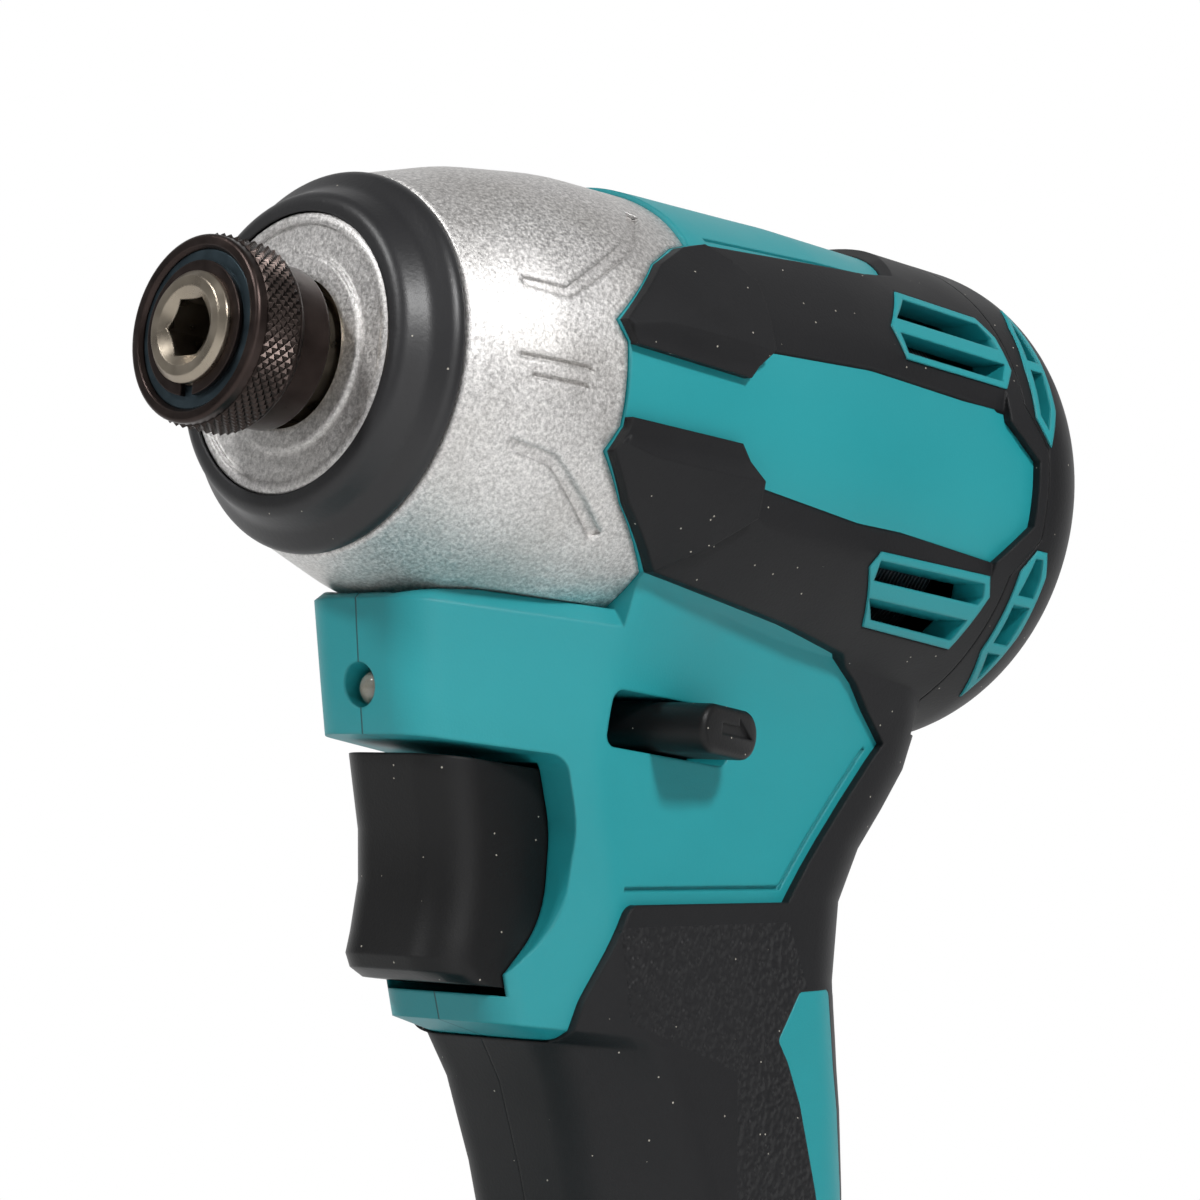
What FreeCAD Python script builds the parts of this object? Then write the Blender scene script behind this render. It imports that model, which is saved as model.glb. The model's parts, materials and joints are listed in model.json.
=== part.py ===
import FreeCAD, Part
import math
import os

# An 18 V impact driver, in millimetres.
# +X points out of the bit holder, +Y to the tool's left, +Z up.
# The origin is the centre of the anvil's front face, on the spindle axis.

V = FreeCAD.Vector
os.makedirs("parts", exist_ok=True)

# Clearances
running = 0.05        # radial clearance of a shaft or ring that turns or slides
seat = 0.15           # gap between pieces that are clamped together
free = 0.4            # gap between pieces that must never touch

# Bit holder
hex_flats = 6.4
hex_depth = 17.0
mouth_radius = 4.54
mouth_depth = 0.9
anvil_radius = 6.4
anvil_chamfer = 0.7
sleeve_radius = 10.75
sleeve_neck_radius = 9.5
sleeve_set_back = 1.3
sleeve_length = 12.2
sleeve_grip_length = 6.7
sleeve_travel = 4.0
sleeve_chamber_radius = 9.1
sleeve_land = 2.0
ring_thickness = 0.7
ring_radius = 7.7
washer_thickness = 0.8
sleeve_wire = 0.7
sleeve_spring_turns = 2.0
detent_ball_radius = 1.75

# Hammer case and bumper
nose_length = 15.6
case_face_radius = 16.3
case_bead_width = 1.2
case_bead_height = 0.4
bumper_length = 6.7
bumper_front_radius = 17.0
bumper_rear_radius = 22.3
bumper_seat_radius = 18.8
case_front_radius = 22.4
case_middle_radius = 26.3
case_rear_radius = 28.5
case_nose_wall = 12.4
case_tail_radius = 26.0
bush_radius = 10.0
journal_radius = 7.6

# Impact mechanism
wing_thickness = 6.2
wing_radius = 18.5
wing_half_angle = 18.0
lug_half_angle = 22.0
hammer_radius = 21.0
hammer_length = 12.7
hammer_travel = 8.0
lug_length = 5.4
spindle_radius = 7.9
pilot_radius = 4.0
cam_ball_radius = 2.75
spring_wire = 2.0
spring_radius = 14.6
spring_turns = 4.0
spring_pocket_depth = 8.0
spring_washer_thickness = 1.4

# Planetary gears: tooth counts and tooth size
gear_module = 0.8
sun_teeth = 9
planet_teeth = 18
ring_teeth = 45
planet_count = 3
planet_width = 7.5
tooth_height = 0.65
tooth_depth = 1.0
tooth_flank = 20.0
backlash = 0.4
carrier_plate = 2.5
carrier_radius = 16.4
planet_pin_radius = 2.5
ring_gear_radius = 22.0

# Bearings and motor
spindle_bearing = (10.0, 16.0, 7.0)      # bore radius, outer radius, width
front_bearing = (2.5, 6.5, 4.0)
rear_bearing = (2.5, 6.5, 4.0)
shaft_radius = 2.5
rotor_radius = 11.9
stator_radius = 24.5
stator_bore = 12.3
stator_length = 21.0
stator_slots = 6
winding_overhang = 2.5
fan_radius = 21.5
fan_width = 6.0
fan_blades = 11
gear_cover_wall = 2.5

# Motor housing, as radii along the axis
head_length = 130.0
head_front_radius = 27.8
head_middle_radius = 30.3
head_rear_radius = 30.8
head_cap_radius = 25.5       # where the sloping part of the rounded rear corner meets the rear face
head_cap_length = 6.2        # how far ahead of the rear face that part begins
head_wall = 2.8
rubber = 1.2
finger_rubber = 2.3
finger_facet = 4.5           # width of the sloping faces on the two fingers
crease_depth = 0.5

# Handle, foot and battery, as heights
chin_top = 24.0
chin_bevel = 2.4
chin_height = 41.5
lip_height = 73.4
handle_height = 139.0
foot_height = 158.0
base_height = 206.0
wall = 3.0
foot_width = 79.0
battery_width = 75.0
foot_front = 18.0
foot_rear = 130.0
foot_corner = 12.0

# Trigger and forward/reverse lever
trigger_width = 19.6
trigger_travel = 7.0
lever_height = 36.6
lever_thickness = 6.0
lever_pivot = 90.0
lever_swing = 20.0


# Helpers

def corner_points(before, corner, after, radius):
    """Start, middle and end of the arc that rounds a corner."""
    back = (before - corner).normalize()
    ahead = (after - corner).normalize()
    half = math.acos(max(-1.0, min(1.0, back.dot(ahead)))) / 2
    inward = (back + ahead).normalize()
    reach = radius / math.tan(half)
    middle = corner + inward * (radius / math.sin(half) - radius)
    return corner + back * reach, middle, corner + ahead * reach


def rounded_wire(corners, place):
    """Closed wire through (a, b) or (a, b, radius) corners, put in space by place."""
    points = [place(c[0], c[1]) for c in corners]
    radii = [c[2] if len(c) > 2 else 0.0 for c in corners]
    count = len(points)
    stops = []
    for i in range(count):
        if radii[i] > 0:
            stops.append(corner_points(points[i - 1], points[i], points[(i + 1) % count], radii[i]))
        else:
            stops.append((points[i], None, points[i]))
    edges = []
    for i in range(count):
        start, middle, end = stops[i]
        if middle is not None:
            edges.append(Part.Arc(start, middle, end).toShape())
        following = stops[(i + 1) % count][0]
        if end.distanceToPoint(following) > 1e-4:
            edges.append(Part.LineSegment(end, following).toShape())
    return Part.Wire(edges)


def along_y(y):
    return lambda a, b: V(a, y, b)


def along_z(z):
    return lambda a, b: V(a, b, z)


def along_x(x):
    return lambda a, b: V(x, a, b)


def turned(corners):
    """Solid of revolution about the X axis through (x, r) or (x, r, radius) corners."""
    face = Part.Face(rounded_wire(corners, along_y(0)))
    return face.revolve(V(0, 0, 0), V(1, 0, 0), 360)


def turned_between(x0, x1, inner, outer):
    """Plain ring or rod about the X axis."""
    low, high = min(x0, x1), max(x0, x1)
    solid = Part.makeCylinder(outer, high - low, V(low, 0, 0), V(1, 0, 0))
    if inner > 0:
        solid = solid.cut(Part.makeCylinder(inner, high - low, V(low, 0, 0), V(1, 0, 0)))
    return solid


def side_prism(corners, y0, y1):
    """Outline in the side view, carried across from y0 to y1."""
    face = Part.Face(rounded_wire(corners, along_y(y0)))
    return face.extrude(V(0, y1 - y0, 0))


def plan_prism(corners, z0, z1):
    face = Part.Face(rounded_wire(corners, along_z(z0)))
    return face.extrude(V(0, 0, z1 - z0))


def front_prism(corners, x0, x1):
    face = Part.Face(rounded_wire(corners, along_x(x0)))
    return face.extrude(V(x1 - x0, 0, 0))


def box(x0, x1, y0, y1, z0, z1):
    low = V(min(x0, x1), min(y0, y1), min(z0, z1))
    return Part.makeBox(abs(x1 - x0), abs(y1 - y0), abs(z1 - z0), low)


def sector(x0, x1, inner, outer, from_angle, to_angle):
    """Part of a ring about the X axis, angles from +Y towards +Z."""
    face = Part.Face(rounded_wire([(x0, inner), (x1, inner), (x1, outer), (x0, outer)],
                                  lambda a, b: V(a, b, 0)))
    face.rotate(V(0, 0, 0), V(1, 0, 0), from_angle)
    return face.revolve(V(0, 0, 0), V(1, 0, 0), to_angle - from_angle)


def spun(solid, count, start=0.0):
    """Copies of a solid, evenly spaced about the X axis."""
    copies = []
    for i in range(count):
        copy = solid.copy()
        copy.rotate(V(0, 0, 0), V(1, 0, 0), start + 360.0 * i / count)
        copies.append(copy)
    return copies


def fused(solids):
    result = solids[0]
    if len(solids) > 1:
        result = result.multiFuse(solids[1:])
    return result.removeSplitter()


def half_space(side):
    """Everything on the left (+1) or the right (-1) of the middle plane."""
    return box(-300, 100, 0, side * 100, -300, 100)


def arc_through(start, apex, end):
    """Arc that leaves start towards apex and arrives at end from apex."""
    middle = (start + end) * 0.5
    half = start.distanceToPoint(end) / 2
    reach = start.distanceToPoint(apex)
    return Part.Arc(start, middle + (apex - middle) * (half / (half + reach)), end).toShape()


def helix_edges(radius, x0, x1, turns):
    """A coil about the X axis as pairs of tangent arcs, two pairs to a turn."""
    steps = int(round(turns * 2))
    pitch = (x1 - x0) / turns

    def point(angle):
        return V(x0 + pitch * angle / (2 * math.pi), radius * math.cos(angle), radius * math.sin(angle))

    def tangent(angle):
        return V(pitch / (2 * math.pi), -radius * math.sin(angle), radius * math.cos(angle)).normalize()

    edges = []
    for i in range(steps):
        a0, a1 = math.pi * i, math.pi * (i + 1)
        p0, p1, t0, t1 = point(a0), point(a1), tangent(a0), tangent(a1)
        span, both = p1 - p0, t0 + t1
        spread = 2 * (1 - t0.dot(t1))
        slope = span.dot(both)
        reach = (-slope + math.sqrt(slope * slope + spread * span.dot(span))) / spread
        joint = (p0 + t0 * reach + p1 - t1 * reach) * 0.5
        edges.append(arc_through(p0, p0 + t0 * reach, joint))
        edges.append(arc_through(joint, p1 - t1 * reach, p1))
    return edges


def coil(radius, wire, x0, x1, turns):
    """Compression spring whose wire lies between x0 and x1."""
    way = 1 if x1 > x0 else -1
    start = x0 + way * wire / 2
    end = x1 - way * wire / 2
    path = Part.Wire(helix_edges(radius, start, end, turns))
    first = V((end - start) / turns / (2 * math.pi), 0, radius).normalize()
    circle = Part.Wire(Part.Circle(V(start, radius, 0), first, wire / 2).toShape())
    return path.makePipeShell([circle], True, False)


def screw(head_at, axis, length, radius, head_radius, head_height):
    """Pan-head screw with a cross slot, its head's underside at head_at."""
    away = V(*axis)
    shank = Part.makeCylinder(radius, length, head_at, away * -1)
    head = Part.makeCylinder(head_radius, head_height, head_at, away)
    solid = shank.fuse(head)
    slot = Part.makeBox(head_radius * 1.1, head_radius * 0.28, head_height,
                        V(-head_radius * 0.55, -head_radius * 0.14, 0))
    cross = slot.fuse(slot.rotated(V(0, 0, 0), V(0, 0, 1), 90))
    cross.Placement = FreeCAD.Placement(head_at + away * (head_height * 0.45),
                                        FreeCAD.Rotation(V(0, 0, 1), away))
    return solid.cut(cross)


# Places along the axis, worked out from the lengths above

case_x = -nose_length
bumper_x = case_x - bumper_length
cavity_x = case_x - case_nose_wall
wing_x = cavity_x - 0.8
wing_end_x = wing_x - wing_thickness
hammer_x = wing_end_x - 0.8
hammer_end_x = hammer_x - hammer_length
spring_seat_x = hammer_end_x - hammer_travel - 0.6
carrier_x = spring_seat_x - spring_washer_thickness
planet_x = carrier_x - carrier_plate - seat
planet_end_x = planet_x - planet_width
carrier_end_x = planet_end_x - seat - carrier_plate
case_end_x = carrier_end_x + 0.5
bearing_x = carrier_end_x - free
bearing_end_x = bearing_x - spindle_bearing[2]
motor_bearing_x = bearing_end_x - 1.0
motor_bearing_end_x = motor_bearing_x - front_bearing[2]
stator_x = motor_bearing_end_x - 1.0 - winding_overhang
stator_end_x = stator_x - stator_length
fan_x = stator_end_x - winding_overhang - 2.0
fan_end_x = fan_x - fan_width
rear_bearing_x = fan_end_x - 0.8
rear_bearing_end_x = rear_bearing_x - rear_bearing[2]
head_end_x = -head_length + rubber

# Pieces of the bit holder

sleeve_x = -sleeve_set_back
sleeve_end_x = sleeve_x - sleeve_length
ring_x = sleeve_x + 0.1
washer_x = ring_x - ring_thickness
spring_x = washer_x - washer_thickness
land_x = spring_x - sleeve_travel - sleeve_wire * (sleeve_spring_turns + 0.5)
ball_x = land_x - sleeve_land / 2
land_end_x = land_x - sleeve_land


def hexagon(flats):
    corner = flats / math.sqrt(3)
    return [(corner * math.cos(math.radians(60 * i)), corner * math.sin(math.radians(60 * i)))
            for i in range(6)]


def anvil():
    """Output shaft with the hex socket and the two wings that the hammer strikes."""
    shaft = turned([(0, 0), (0, anvil_radius - anvil_chamfer), (-anvil_chamfer, anvil_radius),
                    (ring_x, anvil_radius), (ring_x, ring_radius - 1.6),
                    (washer_x, ring_radius - 1.6), (washer_x, anvil_radius),
                    (sleeve_end_x - 0.6, anvil_radius), (sleeve_end_x - 0.6, journal_radius),
                    (wing_end_x, journal_radius), (wing_end_x, 0)])
    wings = [sector(wing_x, wing_end_x, journal_radius - 0.5, wing_radius,
                    wing_angle - wing_half_angle, wing_angle + wing_half_angle)
             for wing_angle in wing_angles()]
    boss = turned_between(wing_x, wing_end_x, 0, journal_radius + 2.0)
    solid = fused([shaft, boss] + wings)
    solid = solid.cut(front_prism(hexagon(hex_flats), 0, -hex_depth))
    solid = solid.cut(turned([(0, 0), (0, mouth_radius), (-mouth_depth, hex_flats / 2), (-mouth_depth, 0)]))
    solid = solid.cut(turned_between(pilot_end_x() + 0.5, wing_end_x, 0, pilot_radius + running))
    for y_way in (1, -1):
        hole = Part.makeCylinder(detent_ball_radius + running, anvil_radius + 1, V(ball_x, 0, 0), V(0, y_way, 0))
        solid = solid.cut(hole)
    return solid


def wing_angles():
    """The wings rest against the hammer's lugs."""
    lead = lug_half_angle + wing_half_angle + 1.2
    return [lead, lead + 180]


def pilot_end_x():
    return wing_end_x + 10.5


def detent_balls():
    """Two balls that lock a bit, held in by the sleeve's land."""
    out = anvil_radius + running - detent_ball_radius
    return [Part.makeSphere(detent_ball_radius, V(ball_x, way * out, 0)) for way in (1, -1)]


def bit_sleeve():
    """Knurled collar, pulled forward to free a bit."""
    shoulder = sleeve_x - sleeve_grip_length
    outer = turned([(sleeve_x, 0), (sleeve_x, sleeve_radius, 0.5), (shoulder, sleeve_radius, 0.5),
                    (shoulder - 1.3, sleeve_neck_radius), (sleeve_end_x, sleeve_neck_radius, 0.5),
                    (sleeve_end_x, 0)])
    bore = turned([(sleeve_x, 0), (sleeve_x, sleeve_chamber_radius + 0.4),
                   (sleeve_x - 0.5, sleeve_chamber_radius), (land_x, sleeve_chamber_radius),
                   (land_x, anvil_radius + running * 2), (land_end_x, anvil_radius + running * 2),
                   (land_end_x - 0.8, sleeve_neck_radius - 1.3), (sleeve_end_x, sleeve_neck_radius - 1.3),
                   (sleeve_end_x, 0)])
    return outer.cut(bore)


def retaining_ring():
    """Snap ring in the anvil's front groove."""
    ring = turned_between(ring_x - 0.02, washer_x + 0.02, ring_radius - 1.55, ring_radius)
    gap = box(ring_x + 1, washer_x - 1, -1.0, 1.0, 0, -ring_radius - 1)
    return ring.cut(gap)


def sleeve_washer():
    return turned_between(washer_x, spring_x, anvil_radius + running, sleeve_chamber_radius - running)


def sleeve_spring():
    mean = (anvil_radius + sleeve_chamber_radius) / 2
    return coil(mean, sleeve_wire, spring_x, land_x, sleeve_spring_turns)


# Hammer case

def case_outside(grow=0.0):
    """Outer form of the hammer case from its front lip back to the housing."""
    return [(case_x, 0), (case_x, case_face_radius + grow, 0.6),
            (bumper_x, bumper_seat_radius + grow), (bumper_x, case_front_radius + grow, 0.4),
            (bumper_x - 11.5, case_middle_radius - 0.3 + grow, 30.0),
            (bumper_x - 24.0, case_rear_radius - 0.4 + grow, 40.0),
            (case_shoulder_x, case_rear_radius + grow), (case_shoulder_x, 0)]


case_shoulder_x = -59.2


def hammer_case():
    """Cast aluminium case round the impact mechanism."""
    body = turned(case_outside())
    bare = side_prism(case_side(seat), -50, 50)
    tail = turned_between(-25, case_shoulder_x, 0, case_tail_radius)
    body = body.common(bare.fuse(tail))
    tail = turned_between(case_shoulder_x + 0.2, case_end_x, 0, case_tail_radius)
    rib = turned_between(planet_x - 2, planet_x - 5, 0, case_tail_radius + 1.0)
    body = fused([body, tail, rib])
    recess = turned_between(case_x, case_x - case_bead_height, bush_radius + 1.5,
                            case_face_radius - case_bead_width)
    bore = turned([(case_x, 0), (case_x, bush_radius - 1.2), (case_x - 2.0, bush_radius - 1.2),
                   (case_x - 2.0, bush_radius), (cavity_x, bush_radius),
                   (cavity_x, hammer_radius + free), (planet_x + 1.0, hammer_radius + free),
                   (planet_x + 1.0, ring_gear_radius + seat), (case_end_x, ring_gear_radius + seat),
                   (case_end_x, 0)])
    body = body.cut(recess).cut(bore)
    for relief in case_reliefs():
        body = body.cut(relief)
    return body


def case_reliefs():
    """Shallow cast pockets and two bars on each side of the case."""
    cuts = []
    depth = 0.5
    shell = turned(case_outside(1.0)).cut(turned(case_outside(-depth)))
    outlines = [
        [(-29.5, 9.0), (-35.3, 8.6), (-47.5, 17.0), (-53.0, 22.5), (-51.5, 23.0), (-45.5, 17.4),
         (-35.0, 10.0), (-29.5, 10.2)],
        [(-29.5, -8.4), (-35.8, -9.4), (-46.0, -16.6), (-44.8, -17.4), (-35.3, -10.8), (-29.5, -9.6)],
        [(-28.6, 1.2), (-37.6, 1.2), (-38.2, 0.6), (-28.6, 0.6)],
        [(-30.2, -0.9), (-37.4, -0.9), (-37.8, -1.5), (-30.2, -1.5)]]
    for outline in outlines:
        for way in (1, -1):
            cuts.append(shell.common(side_prism(outline, way * 5, way * 50)))
    return cuts


def front_bumper():
    """Rubber ring that guards the front of the case."""
    waist_x = case_x - bumper_length * 0.5
    waist = bumper_seat_radius + 0.9
    return turned([(case_x + 0.1, case_face_radius + seat), (case_x + 0.1, bumper_front_radius + 1.5, 1.7),
                   (waist_x + 0.2, waist + 0.3, 2.6), (bumper_x + 1.7, bumper_rear_radius + 0.1, 1.6),
                   (bumper_x + 0.1, bumper_rear_radius, 0.7), (bumper_x + 0.1, bumper_seat_radius + seat)])


def anvil_bush():
    return turned_between(case_x - 2.0 - seat, cavity_x, journal_radius + running, bush_radius)


# Impact mechanism

def hammer():
    """Steel ring with two lugs, driven by the spindle through the cam balls."""
    body = turned([(hammer_x, spindle_radius + running), (hammer_x, hammer_radius - 1.5),
                   (hammer_x - 1.5, hammer_radius), (hammer_end_x, hammer_radius),
                   (hammer_end_x, spindle_radius + running)])
    lugs = []
    for angle in (0, 180):
        lugs.append(sector(hammer_x + lug_length, hammer_x - 0.5, 11.0, hammer_radius - 1.0,
                           angle - lug_half_angle, angle + lug_half_angle))
    body = fused([body] + lugs)
    pocket = turned_between(hammer_end_x + spring_pocket_depth, hammer_end_x, spindle_radius + 2.4,
                            spring_radius + spring_wire + 1.2)
    body = body.cut(pocket)
    for angle in (90, 270):
        groove = turned_between(hammer_x, hammer_x - 5.0 - cam_ball_radius, 0, cam_ball_radius + 0.1)
        groove.translate(V(0, cam_ball_orbit(), 0))
        groove.rotate(V(0, 0, 0), V(1, 0, 0), angle)
        body = body.cut(groove)
    return body


def cam_ball_orbit():
    return spindle_radius + 0.2


def cam_ball_x():
    return hammer_x - 5.0


def cam_balls():
    balls = []
    for angle in (90, 270):
        centre = V(cam_ball_x(), cam_ball_orbit(), 0)
        ball = Part.makeSphere(cam_ball_radius, centre)
        ball.rotate(V(0, 0, 0), V(1, 0, 0), angle)
        balls.append(ball)
    return balls


def hammer_spring():
    return coil(spring_radius, spring_wire, hammer_end_x + spring_pocket_depth, spring_seat_x, spring_turns)


def spring_washer():
    return turned_between(spring_seat_x, carrier_x, spindle_radius + running, spring_radius + 2.2)


def spindle():
    """Shaft with the planet carrier on its rear end."""
    hub = spindle_bearing[0]
    solid = turned([(pilot_end_x(), 0), (pilot_end_x(), pilot_radius), (wing_end_x - 0.3, pilot_radius),
                    (wing_end_x - 0.3, spindle_radius), (carrier_x, spindle_radius),
                    (carrier_x, carrier_radius), (carrier_end_x, carrier_radius),
                    (carrier_end_x, hub), (bearing_end_x, hub), (bearing_end_x, 0)])
    room = turned_between(planet_x + seat, planet_end_x - seat, 0, carrier_radius + 1)
    posts = []
    for angle in (30, 150, 270):
        posts.append(sector(planet_x + 1, planet_end_x - 1, sun_tip() + 1.6, carrier_radius,
                            angle - 13, angle + 13))
    solid = solid.cut(room)
    solid = fused([solid] + posts)
    solid = solid.cut(turned_between(planet_x + 1.5, bearing_end_x, 0, sun_tip() + 0.6))
    for pin in pin_shapes(running):
        solid = solid.cut(pin)
    for angle in (90, 270):
        ball = Part.makeSphere(cam_ball_radius + 0.1, V(cam_ball_x(), cam_ball_orbit(), 0))
        ball.rotate(V(0, 0, 0), V(1, 0, 0), angle)
        solid = solid.cut(ball)
    return solid


def pin_shapes(grow=0.0):
    orbit = gear_module * (sun_teeth + planet_teeth) / 2
    pin = turned_between(carrier_x - 0.6, carrier_end_x + 0.4, 0, planet_pin_radius + grow)
    pin.translate(V(0, orbit, 0))
    return spun(pin, planet_count, 90)


def planet_pins():
    return pin_shapes()


def sun_tip():
    return gear_module * (sun_teeth / 2 + tooth_height)


def tooth_outline(teeth, inside, start):
    """Straight-flanked gear outline in the plane across the axis."""
    pitch = gear_module * teeth / 2
    way = -1 if inside else 1
    tip = pitch + way * gear_module * tooth_height
    root = pitch - way * gear_module * tooth_depth
    thick = gear_module * math.pi / 4 - backlash / 4
    lean = math.tan(math.radians(tooth_flank))
    half_tip = (thick - gear_module * tooth_height * lean) / tip
    half_root = (thick + gear_module * tooth_depth * lean) / root
    half_root = min(half_root, math.pi / teeth * 0.92)
    points = []
    for i in range(teeth):
        middle = math.radians(start) + 2 * math.pi * i / teeth
        for angle, radius in ((-half_root, root), (-half_tip, tip), (half_tip, tip), (half_root, root)):
            points.append((radius * math.cos(middle + angle), radius * math.sin(middle + angle)))
    return points


def planet_gear(index):
    """Planet at one of the carrier's pins, in mesh with the sun and the ring."""
    orbit = gear_module * (sun_teeth + planet_teeth) / 2
    gear = front_prism(tooth_outline(planet_teeth, False, 90 + 180.0 / planet_teeth), planet_x, planet_end_x)
    gear = gear.cut(turned_between(planet_x, planet_end_x, 0, planet_pin_radius + running))
    gear.translate(V(0, 0, orbit))
    gear.rotate(V(0, 0, 0), V(1, 0, 0), 360.0 * index / planet_count)
    return gear


def ring_gear():
    ring = turned_between(planet_x + 0.4, planet_end_x - 0.6, 0, ring_gear_radius)
    teeth = front_prism(tooth_outline(ring_teeth, True, 90), planet_x + 2, planet_end_x - 2)
    return ring.cut(teeth)


def gear_cover():
    """Plate that closes the case and holds the spindle and motor bearings."""
    bore, outer, width = spindle_bearing
    plate_x = case_end_x - seat
    solid = turned([(plate_x, 0), (plate_x, case_tail_radius), (plate_x - gear_cover_wall, case_tail_radius),
                    (plate_x - gear_cover_wall - 1.5, outer + 4.0), (bearing_end_x - 0.9, outer + 2.0),
                    (bearing_end_x - 0.9, front_bearing[1] + 2.0), (motor_bearing_end_x, front_bearing[1] + 2.0),
                    (motor_bearing_end_x, 0)])
    spigot = turned_between(plate_x + 1.4, plate_x - 0.1, 0, ring_gear_radius)
    solid = fused([solid, spigot])
    room = turned([(plate_x + 3, 0), (plate_x + 3, carrier_radius + 1.2), (bearing_x, carrier_radius + 1.2),
                   (bearing_x, outer), (bearing_end_x, outer), (bearing_end_x, front_bearing[1] - 1.5),
                   (motor_bearing_x, front_bearing[1] - 1.5), (motor_bearing_x, front_bearing[1]),
                   (motor_bearing_end_x - 1, front_bearing[1]), (motor_bearing_end_x - 1, 0)])
    return solid.cut(room)


def bearing(x0, sizes):
    """Ball bearing as two races and a shield."""
    bore, outer, width = sizes
    step = (outer - bore) / 4
    groove = 0.35
    return turned([(x0, bore), (x0, bore + step), (x0 - groove, bore + step), (x0 - groove, outer - step),
                   (x0, outer - step), (x0, outer), (x0 - width, outer), (x0 - width, outer - step),
                   (x0 - width + groove, outer - step), (x0 - width + groove, bore + step),
                   (x0 - width, bore + step), (x0 - width, bore)])


# Motor

def rotor_shaft():
    """Motor shaft with the sun pinion cut on its front end."""
    pinion = front_prism(tooth_outline(sun_teeth, False, 90), planet_x + 1.0 - 1.5, planet_end_x - 0.5)
    neck = turned_between(planet_end_x, motor_bearing_x, 0, shaft_radius + 0.4)
    shaft = turned_between(motor_bearing_x, rear_bearing_end_x + 0.3, 0, shaft_radius - running)
    return fused([pinion, neck, shaft])


def rotor_core():
    return turned_between(stator_x, stator_end_x, shaft_radius - running, rotor_radius)


def stator_core():
    """Laminated ring with six wound poles."""
    yoke = turned_between(stator_x, stator_end_x, stator_radius - 3.2, stator_radius)
    poles = []
    for angle in range(0, 360, 360 // stator_slots):
        pole = box(stator_x, stator_end_x, stator_bore + 0.8, stator_radius - 3.0, -2.6, 2.6)
        shoe = sector(stator_x, stator_end_x, stator_bore, stator_bore + 1.6, -23, 23)
        both = pole.fuse(shoe)
        both.rotate(V(0, 0, 0), V(1, 0, 0), angle)
        poles.append(both)
    return fused([yoke] + poles)


def windings():
    """Copper coil round each pole."""
    coils = []
    for angle in range(0, 360, 360 // stator_slots):
        outer = box(stator_x + winding_overhang, stator_end_x - winding_overhang,
                    stator_bore + 2.2, stator_radius - 3.8, -5.0, 5.0)
        inner = box(stator_x + 0.5, stator_end_x - 0.5,
                    stator_bore + 1.2, stator_radius - 2.8, -2.9, 2.9)
        keep = front_prism([(stator_bore, -5.2 * 0.55), (stator_radius - 3.8, -10.0),
                            (stator_radius - 3.8, 10.0), (stator_bore, 5.2 * 0.55)],
                           stator_x + winding_overhang, stator_end_x - winding_overhang)
        one = outer.cut(inner).common(keep)
        one.rotate(V(0, 0, 0), V(1, 0, 0), angle)
        coils.append(one)
    return coils


def fan():
    """Radial cooling fan on the rotor shaft."""
    plate = turned([(fan_end_x, shaft_radius - running), (fan_end_x + 2.4, shaft_radius - running),
                    (fan_x, shaft_radius - running), (fan_x, 6.0), (fan_end_x + 1.6, 7.5),
                    (fan_end_x + 1.0, fan_radius), (fan_end_x, fan_radius)])
    blades = []
    for i in range(fan_blades):
        blade = box(fan_x, fan_end_x + 0.5, 9.5, fan_radius, -0.6, 0.6)
        blade.rotate(V(0, 9.5, 0), V(1, 0, 0), -25)
        blade.rotate(V(0, 0, 0), V(1, 0, 0), 360.0 * i / fan_blades)
        blades.append(blade)
    return fused([plate] + blades).common(turned_between(fan_x, fan_end_x, 0, fan_radius))


def head_form(grow=0.0):
    """Outer form of the motor housing, grown outwards by a thickness."""
    return turned([(head_start_x, 0), (head_start_x, head_front_radius + grow - 0.3),
                   (-60.0, head_front_radius + 1.4 + grow, 60.0),
                   (-84.0, head_middle_radius + grow, 60.0)] + rear_profile(grow))


head_start_x = -38.0


def rear_profile(grow):
    """Rounded rear corner of the motor housing, down to the axis."""
    end = head_end_x - grow
    return [(end + head_cap_length + 0.64 * grow, head_rear_radius + grow, 11.0 + grow),
            (end, head_cap_radius + 0.47 * grow, 7.5 + grow), (end, 0)]


# Chin, handle and foot

def section(z, front, nose, shoulder, width, rear, rear_width, inset):
    """Plan section of the chin and handle, with a narrow nose and rounded rear."""
    nose_radius = 6.0
    return rounded_wire([(front - inset, nose - inset * 0.6, nose_radius),
                         (shoulder - inset * 0.3, width - inset, 9.0),
                         (rear + inset, rear_width - inset, 10.5 - inset * 0.5),
                         (rear + inset, inset - rear_width, 10.5 - inset * 0.5),
                         (shoulder - inset * 0.3, inset - width, 9.0),
                         (front - inset, inset * 0.6 - nose, nose_radius)], along_z(z))


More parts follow.
